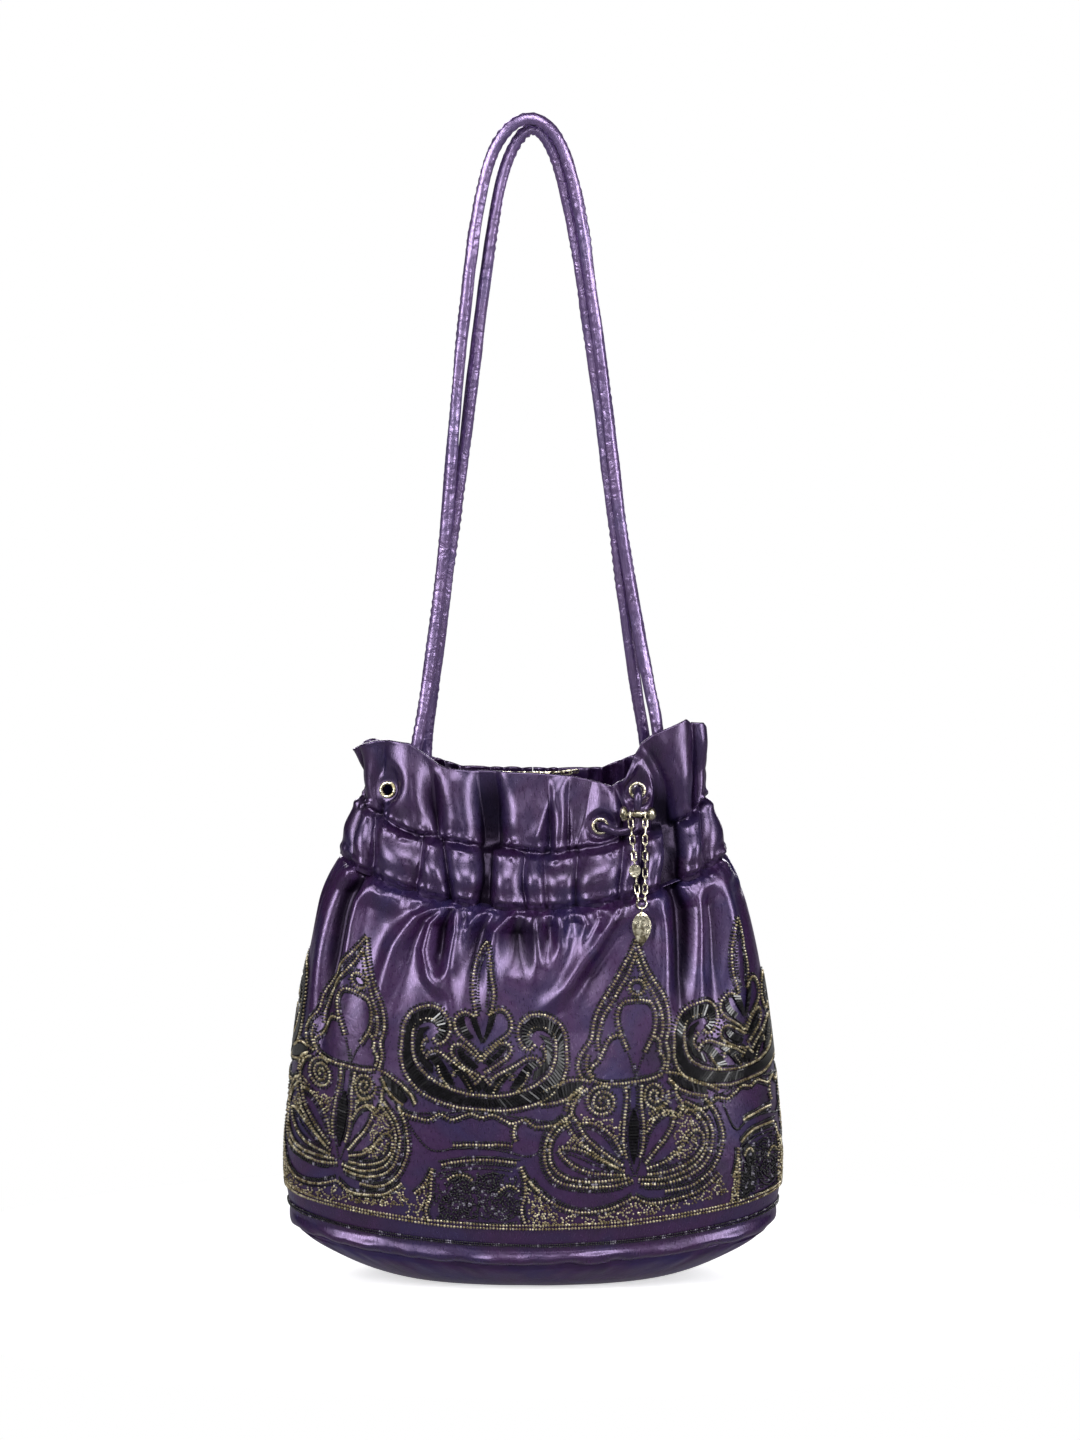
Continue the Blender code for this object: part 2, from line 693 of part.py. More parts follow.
def make_bow(material):
    """Bow-shaped bar with an eye at its back that holds it on the drawcord."""
    half = BOW_LENGTH / 2
    flare, waist = BOW_FLARE / 2, BOW_WAIST / 2
    profile = [
        (flare - BOW_EDGE, -half), (flare, BOW_EDGE - half), (waist, BOW_SHOULDER - half),
        (waist, half - BOW_SHOULDER), (flare, half - BOW_EDGE), (flare - BOW_EDGE, half),
    ]
    bm = bmesh.new()
    place = placement(bow_centre(), Vector((1, 0, 0)), Vector((0, 0, 1)))
    turned_solid(bm, profile, AROUND_BOW, place)
    bow = add_object("charm_bow", bm, material)
    eye = bmesh.new()
    outer = BOW_EYE_BORE + 2 * BOW_EYE_WIRE
    middle = Vector((BOW_X, CORD_AT_BOW.y, BOW_HEIGHT))
    link_mesh(eye, middle, Vector((1, 0, 0)), Vector((0, 0, 1)), outer, outer, BOW_EYE_WIRE,
              RING_STEPS, sides=6)
    unite(bow, eye, "charm_bow_eye")


def chain_direction():
    lean = math.radians(CHAIN_LEAN_DEG)
    return Vector((0, -math.sin(lean), -math.cos(lean)))


def pendant_ring_centre():
    """Centre of the ring that both strands and the large leaf hang in."""
    wire_mean = (PENDANT_RING_BORE + WIRE) / 2
    drop = math.sqrt(wire_mean ** 2 - STRAND_FOOT_SPREAD ** 2)
    last_foot = link_position(STRAND_LINKS) + LINK_LENGTH / 2 - 1.5 * WIRE - STRAND_FOOT_SLACK
    return bow_centre() + Vector((STRAND_FOOT_SHIFT, 0, 0)) + chain_direction() * (last_foot + drop)


def link_position(number):
    """Distance of a strand link's centre from the bow's axis; link 1 is the first under the top link."""
    first = BOW_WAIST / 2 + RUNNING_GAP + LINK_LENGTH / 2
    return first + (number - 1) * (LINK_LENGTH - 2 * WIRE - LINK_SLACK)


def make_strand(side, name, material):
    """One strand: a wide top link round the bow's waist, then links that alternate their plane."""
    down = chain_direction()
    sideways = Vector((1, 0, 0))
    facing = down.cross(sideways)
    top = bow_centre() + sideways * (side * STRAND_SPREAD)
    foot = pendant_ring_centre() + sideways * (side * STRAND_FOOT_SPREAD)
    bore = BOW_WAIST + 2 * RUNNING_GAP
    drop = BOW_WAIST / 2 + RUNNING_GAP + WIRE + LINK_SLACK - bore / 2
    make_link(name + "_top_link", top + down * (drop / 2), down, sideways, material,
              length=bore + 2 * WIRE + drop, width=bore + 2 * WIRE)
    reach = (foot - top).dot(down)
    run = (foot - top) / reach
    for number in range(1, STRAND_LINKS + 1):
        normal = facing if number % 2 else sideways
        make_link(f"{name}_link_{number:02d}", top + run * link_position(number), run, normal, material)


def leaf_shape(bm, tip_direction, facing, top, length, width):
    """Cupped leaf with a raised midrib, hung from its stem end at the top point."""
    across = facing.cross(tip_direction).normalized()
    rows, columns = LEAF_ROWS, LEAF_COLUMNS
    layers = []
    for layer in (1, -1):
        grid = []
        for row in range(1, rows):
            share = row / rows
            half = width / 2 * math.sin(math.pi * share ** LEAF_STEM_POWER) ** LEAF_ROUND_POWER
            line = []
            for column in range(-columns // 2, columns // 2 + 1):
                offset = 2 * column / columns
                rib = LEAF_RIB * (1 - abs(offset)) if layer > 0 else 0
                cup = -LEAF_CUP * (1 - offset ** 2) * math.sin(math.pi * share)
                lift = layer * LEAF_THICKNESS / 2 + rib + cup
                line.append(top + tip_direction * (length * share) + across * (half * offset)
                            + facing * lift)
            grid.append(line)
        layers.append(grid)
    verts = [[[bm.verts.new(point) for point in line] for line in grid] for grid in layers]
    for grid, flip in zip(verts, (False, True)):
        for row in range(len(grid) - 1):
            for column in range(columns):
                corners = (grid[row][column], grid[row][column + 1],
                           grid[row + 1][column + 1], grid[row + 1][column])
                bm.faces.new(corners[::-1] if flip else corners)
    front, rear = verts
    for column in (0, columns):
        for row in range(len(front) - 1):
            bm.faces.new((front[row][column], front[row + 1][column],
                          rear[row + 1][column], rear[row][column]))
    for end, share in ((0, 0.0), (-1, 1.0)):
        point = bm.verts.new(top + tip_direction * (length * share))
        for column in range(columns):
            bm.faces.new((front[end][column], front[end][column + 1], point))
            bm.faces.new((rear[end][column + 1], rear[end][column], point))
        bm.faces.new((front[end][0], point, rear[end][0]))
        bm.faces.new((front[end][columns], rear[end][columns], point))


def make_leaf(name, eye_centre, eye_normal, stem, length, width, material):
    """Leaf that hangs from its stem point, fused to an eye whose wire the stem touches."""
    down = chain_direction()
    facing = down.cross(Vector((1, 0, 0)))
    bm = bmesh.new()
    leaf_shape(bm, down, facing, stem, length, width)
    leaf = add_object(name, bm, material)
    eye = bmesh.new()
    outer = LEAF_EYE_BORE + 2 * LEAF_EYE_WIRE
    link_mesh(eye, eye_centre, down.cross(eye_normal), eye_normal, outer, outer, LEAF_EYE_WIRE,
              LEAF_EYE_STEPS)
    unite(leaf, eye, name + "_eye")


def make_charm(material):
    make_bow(material)
    make_strand(-1, "left_strand", material)
    make_strand(1, "right_strand", material)
    down = chain_direction()
    facing = down.cross(Vector((1, 0, 0)))
    ring = pendant_ring_centre()
    size = PENDANT_RING_BORE + 2 * WIRE
    make_link("pendant_ring", ring, down, facing, material,
              length=size, width=size, steps=RING_STEPS)
    eye = ring + down * (PENDANT_RING_BORE + WIRE) / 2
    stem = eye + down * (LEAF_EYE_BORE / 2 + LEAF_EYE_WIRE * 0.2)
    make_leaf("leaf_pendant", eye, Vector((1, 0, 0)), stem, LEAF_LENGTH, LEAF_WIDTH, material)


def make_small_leaf(material):
    """Small leaf charm, its eye round the front wire of an edge-on link of the left strand."""
    down = chain_direction()
    facing = down.cross(Vector((1, 0, 0)))
    top = bow_centre() - Vector((STRAND_SPREAD, 0, 0))
    foot = pendant_ring_centre() - Vector((STRAND_FOOT_SPREAD, 0, 0))
    run = (foot - top) / (foot - top).dot(down)
    eye = top + run * link_position(SMALL_LEAF_LINK) + facing * (LINK_WIDTH - WIRE) / 2
    stem = eye + facing * (LEAF_EYE_BORE + LEAF_EYE_WIRE) / 2
    make_leaf("small_leaf", eye, down, stem, SMALL_LEAF_LENGTH, SMALL_LEAF_WIDTH, material)


def make_mouth_chain(material):
    """Loose chain that lies along the rim of the front frill, links turned half over each way."""
    pitch = LINK_LENGTH - 2 * WIRE - MOUTH_SLACK
    rest = (LINK_WIDTH - WIRE) / 2 * math.sin(math.pi / 4) + WIRE / 2 + SEAM_GAP
    rim = LEVELS["rim"]
    x = MOUTH_CHAIN_START_X

    def on_rim(place):
        angle = angle_at(place, rim)
        return body_point(angle, rim, -SATIN_WALL / 2) + Vector((0, 0, rest))

    here = on_rim(x)
    for number in range(1, MOUTH_LINKS + 1):
        along = (on_rim(x + 0.001) - here).normalized()
        level_side = along.cross(Vector((0, 0, 1))).normalized()
        upright = level_side.cross(along)
        turn = math.pi / 4 if number % 2 else -math.pi / 4
        normal = upright * math.cos(turn) + level_side * math.sin(turn)
        make_link(f"mouth_chain_link_{number:02d}", here, along, normal, material)
        x += pitch * along.x
        here = on_rim(x)


def main():
    for obj in list(bpy.data.objects):
        bpy.data.objects.remove(obj, do_unlink=True)
    satin = make_material("purple_satin", (0.085, 0.022, 0.150), 0.32)
    lining_cloth = make_material("lining_cloth", (0.045, 0.018, 0.065), 0.6)
    brass = make_material("pale_brass", (0.72, 0.62, 0.42), 0.28, 1.0)
    beads = make_material("black_beads", (0.012, 0.012, 0.014), 0.25)

    base_to_gather = (0, LEVELS["lower_gather"] - PANEL_TOP_GAP)
    yoke_levels = (LEVELS["lower_gather"], LEVELS["rim"])
    satin_panel("front_panel", -math.pi, base_to_gather, PANEL_ROWS, AROUND_PANEL // 2, satin)
    satin_panel("back_panel", 0, base_to_gather, PANEL_ROWS, AROUND_PANEL // 2, satin)
    right = satin_panel("yoke_right", -math.pi / 2, yoke_levels, YOKE_ROWS, AROUND_YOKE // 2, satin)
    left = satin_panel("yoke_left", math.pi / 2, yoke_levels, YOKE_ROWS, AROUND_YOKE // 2, satin)
    make_base_panel(satin)
    make_lining(lining_cloth)
    make_bead_cord(beads)

    frames = {}
    for places, back in ((FRONT_EYELETS, False), (BACK_EYELETS, True)):
        for name, (x, share) in places.items():
            frames[name] = eyelet_frame(x, share, back)
            make_eyelet(name, frames[name], brass)
    cut_eyelet_holes(right, [frame for frame in frames.values() if frame[0].x > 0])
    cut_eyelet_holes(left, [frame for frame in frames.values() if frame[0].x < 0])
    centres = [frame[0] for frame in frames.values()]
    strap_cord("strap_cord_front", FRONT_ROUTE, centres, satin)
    strap_cord("strap_cord_back", BACK_ROUTE, centres, satin)
    make_charm(brass)
    make_small_leaf(brass)
    make_mouth_chain(brass)


if __name__ == "__main__":
    main()
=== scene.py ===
"""Satin potli bag: gathered pouch with beadwork, a drawcord that is its double strap, and a chain charm.

Metres, +Z up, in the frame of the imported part. The front faces -Y and +X is the right as seen from it.
A place on the cloth is a distance round the bag from the middle of the front, and a level: 0 is the base
seam, 1 the belly, 2 the chest, 3 the shoulder, 4 the lower gather, 5 the band, 6 the upper gather,
7 the frill and 8 the rim.
"""
import math

import bmesh
import bpy
import numpy as np
from mathutils import Matrix, Vector, noise


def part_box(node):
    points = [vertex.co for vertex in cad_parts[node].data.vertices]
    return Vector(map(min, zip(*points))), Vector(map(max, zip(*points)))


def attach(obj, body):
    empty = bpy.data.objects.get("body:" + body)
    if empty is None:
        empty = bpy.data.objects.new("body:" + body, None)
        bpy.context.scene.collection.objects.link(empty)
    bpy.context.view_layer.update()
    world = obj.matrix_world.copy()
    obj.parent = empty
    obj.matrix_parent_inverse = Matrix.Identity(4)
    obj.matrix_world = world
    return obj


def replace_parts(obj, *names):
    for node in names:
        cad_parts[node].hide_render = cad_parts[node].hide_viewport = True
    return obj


bl_info = {
    "name": "Satin Potli Bag",
    "version": (1, 0, 0),
    "blender": (4, 5, 0),
    "location": "3D View > Sidebar > Potli Bag",
    "description": "Builds a gathered satin potli with beadwork, a drawcord strap and a chain charm",
    "category": "Object",
}

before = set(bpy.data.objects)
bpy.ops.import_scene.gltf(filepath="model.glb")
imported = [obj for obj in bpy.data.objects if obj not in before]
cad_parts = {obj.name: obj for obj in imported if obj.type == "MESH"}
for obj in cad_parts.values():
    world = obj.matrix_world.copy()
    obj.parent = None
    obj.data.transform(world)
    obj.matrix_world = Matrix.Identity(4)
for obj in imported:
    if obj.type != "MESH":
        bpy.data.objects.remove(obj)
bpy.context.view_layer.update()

# Camera: one photograph pixel is half a millimetre at the middle of the bag
FRAME_HEIGHT = 0.720
CAMERA_DISTANCE = 4.0
CAMERA_HEIGHT = 0.692
VIEW_CENTRE = Vector((0.0035, 0.0, 0.2800))

# Outline of the bag at each level, as in the part's source
HALF_WIDTHS = np.array((0.241, 0.251, 0.236, 0.216, 0.192, 0.186, 0.174, 0.175, 0.178)) / 2
HALF_DEPTHS = np.array((0.118, 0.130, 0.114, 0.091, 0.076, 0.072, 0.056, 0.047, 0.040)) / 2
HEIGHTS = (0.0136, 0.045, 0.118, 0.164, 0.189, 0.203, 0.217, 0.234, 0.253)
LEFT_RISES = (0.0134, 0.015, 0.019, 0.024, 0.024, 0.024, 0.024, 0.021, 0.018)
RIGHT_RISES = (0.0134, 0.015, 0.019, 0.024, 0.024, 0.024, 0.024, 0.0255, 0.027)
FLAT_HALF_WIDTH = 0.050
FLAT_HALF_DEPTH = 0.034
OVAL_POWER = 2.3
LOWER_GATHER = 4
UPPER_GATHER = 6
RIM = 8

# Outline along which places on the cloth are measured
MEASURE_HALF_WIDTH = 0.1235
MEASURE_HALF_DEPTH = 0.0625

SATIN_WALL = 0.0018
EYELET_HOLE_RADIUS = 0.0029
EYELET_FLAT_RADIUS = 0.0075
EYELET_SEAT_HALF = 0.00050
# Bar of the charm: depth of its middle behind its box, and swells along it as shares and sizes
BOW_BAR_DEPTH = 0.0030
BOW_SWELLS = ((-0.02, (0.0042, 0.0056, 0.0078)), (0.50, (0.0060, 0.0038, 0.0038)), (1.03, (0.0048, 0.0054, 0.0066)))
# Half section of an eyelet, radius and height along its axis
EYELET_PROFILE = (
    (0.00262, -0.0010), (0.00262, 0.0010), (0.00285, 0.00128), (0.00325, 0.00142), (0.00375, 0.00140),
    (0.00418, 0.00122), (0.00438, 0.00092), (0.00430, 0.00075), (0.00306, 0.00075), (0.00306, -0.00075),
    (0.00430, -0.00075), (0.00438, -0.00092), (0.00418, -0.00122), (0.00375, -0.00140), (0.00325, -0.00142),
    (0.00285, -0.00128),
)

# Eyelets: x and level on the front, and on the back
FRONT_EYELETS = ((-0.0725, 6.96), (0.0335, 6.54), (0.0520, 7.22))
BACK_EYELETS = ((0.0725, 6.88), (-0.0335, 6.72), (-0.0540, 6.96))

# Height of the rim above the floor against x, front and back
FRONT_RIM = (
    (-0.0890, 0.2650), (-0.0860, 0.2675), (-0.0790, 0.2700), (-0.0715, 0.2707), (-0.0610, 0.2695),
    (-0.0540, 0.2645), (-0.0470, 0.2590), (-0.0425, 0.2572), (-0.0315, 0.2562), (0.0000, 0.2550),
    (0.0185, 0.2535), (0.0260, 0.2518), (0.0335, 0.2500), (0.0395, 0.2480), (0.0450, 0.2520),
    (0.0500, 0.2625), (0.0535, 0.2690), (0.0585, 0.2738), (0.0755, 0.2812), (0.0785, 0.2792),
    (0.0845, 0.2788), (0.0890, 0.2730),
)
BACK_RIM = (
    (-0.0890, 0.2650), (-0.0800, 0.2690), (-0.0600, 0.2620), (-0.0350, 0.2540), (0.0000, 0.2530),
    (0.0350, 0.2535), (0.0600, 0.2640), (0.0800, 0.2740), (0.0890, 0.2730),
)

# Centrelines of the strap cords, as in the part's source
FRONT_ROUTE = (
    (0.0050, -0.0130, 0.2345), (-0.0100, -0.0130, 0.2360), (-0.0280, -0.0130, 0.2370),
    (-0.0430, -0.0122, 0.2376), (-0.0535, -0.0108, 0.2400), (-0.0597, -0.0092, 0.2455),
    (-0.0612, -0.0082, 0.2540), (-0.0590, -0.0078, 0.2640), (-0.0558, -0.0068, 0.2800),
    (-0.0520, -0.0045, 0.3050), (-0.0475, -0.0032, 0.3380), (-0.0430, -0.0032, 0.3810),
    (-0.0380, -0.0032, 0.4420), (-0.0335, -0.0032, 0.4880), (-0.0280, -0.0032, 0.5300),
    (-0.0215, -0.0032, 0.5590), (-0.0120, -0.0032, 0.5750), (-0.0010, -0.0032, 0.5800),
    (0.0095, -0.0032, 0.5740), (0.0170, -0.0032, 0.5590), (0.0235, -0.0032, 0.5320),
    (0.0300, -0.0032, 0.4880), (0.0360, -0.0032, 0.4420), (0.0435, -0.0032, 0.3810),
    (0.0505, -0.0032, 0.3380), (0.0570, -0.0045, 0.3030), (0.0615, -0.0068, 0.2800),
    (0.0625, -0.0078, 0.2640), (0.0595, -0.0080, 0.2550), (0.0538, -0.0098, 0.2482),
    (0.0514, -0.0143, 0.2461), (0.0519, -0.0187, 0.2467), (0.0523, -0.0227, 0.2468),
    (0.0523, -0.0250, 0.2436), (0.0521, -0.0251, 0.2395), (0.0520, -0.0250, 0.2350),
    (0.0513, -0.0256, 0.2312), (0.0490, -0.0261, 0.2285), (0.0440, -0.0268, 0.2268),
    (0.0385, -0.0282, 0.2277), (0.0345, -0.0281, 0.2299), (0.0335, -0.0240, 0.2295),
    (0.0332, -0.0188, 0.2286), (0.0300, -0.0147, 0.2285), (0.0240, -0.0134, 0.2299),
    (0.0140, -0.0130, 0.2323), (0.0056, -0.0130, 0.2344),
)
BACK_ROUTE = (
    (-0.0050, 0.0130, 0.2345), (0.0100, 0.0130, 0.2360), (0.0280, 0.0130, 0.2375),
    (0.0430, 0.0122, 0.2386), (0.0525, 0.0108, 0.2412), (0.0574, 0.0092, 0.2470),
    (0.0585, 0.0082, 0.2550), (0.0565, 0.0078, 0.2650), (0.0545, 0.0068, 0.2780),
    (0.0505, 0.0045, 0.3030), (0.0455, 0.0032, 0.3380), (0.0400, 0.0032, 0.3810),
    (0.0325, 0.0032, 0.4420), (0.0260, 0.0032, 0.4880), (0.0190, 0.0032, 0.5300),
    (0.0130, 0.0032, 0.5560), (0.0060, 0.0032, 0.5710), (-0.0010, 0.0032, 0.5750),
    (-0.0080, 0.0032, 0.5690), (-0.0140, 0.0032, 0.5550), (-0.0190, 0.0032, 0.5320),
    (-0.0255, 0.0032, 0.4880), (-0.0310, 0.0032, 0.4420), (-0.0390, 0.0032, 0.3810),
    (-0.0445, 0.0032, 0.3380), (-0.0490, 0.0045, 0.3030), (-0.0525, 0.0068, 0.2780),
    (-0.0535, 0.0078, 0.2650), (-0.0535, 0.0085, 0.2520), (-0.0536, 0.0115, 0.2415),
    (-0.0536, 0.0150, 0.2398), (-0.0540, 0.0199, 0.2407), (-0.0541, 0.0237, 0.2412),
    (-0.0515, 0.0262, 0.2400), (-0.0450, 0.0272, 0.2365), (-0.0390, 0.0276, 0.2336),
    (-0.0345, 0.0272, 0.2328), (-0.0335, 0.0234, 0.2321), (-0.0332, 0.0180, 0.2310),
    (-0.0300, 0.0145, 0.2306), (-0.0240, 0.0133, 0.2315), (-0.0140, 0.0130, 0.2330),
    (-0.0056, 0.0130, 0.2344),
)
CORD_IN_EYELET = 0.0040
CORD_NARROW_REACH = 0.006
CORD_FULL_REACH = 0.012
CORD_NARROW_PLACES = (
    (0.0520, -0.0190, 0.2466), (0.0520, -0.0250, 0.2360), (0.0450, -0.0266, 0.2270),
    (0.0390, -0.0281, 0.2276), (0.0335, -0.0240, 0.2292), (-0.0335, 0.0230, 0.2319),
    (-0.0450, 0.0272, 0.2365), (-0.0540, 0.0195, 0.2405),
)

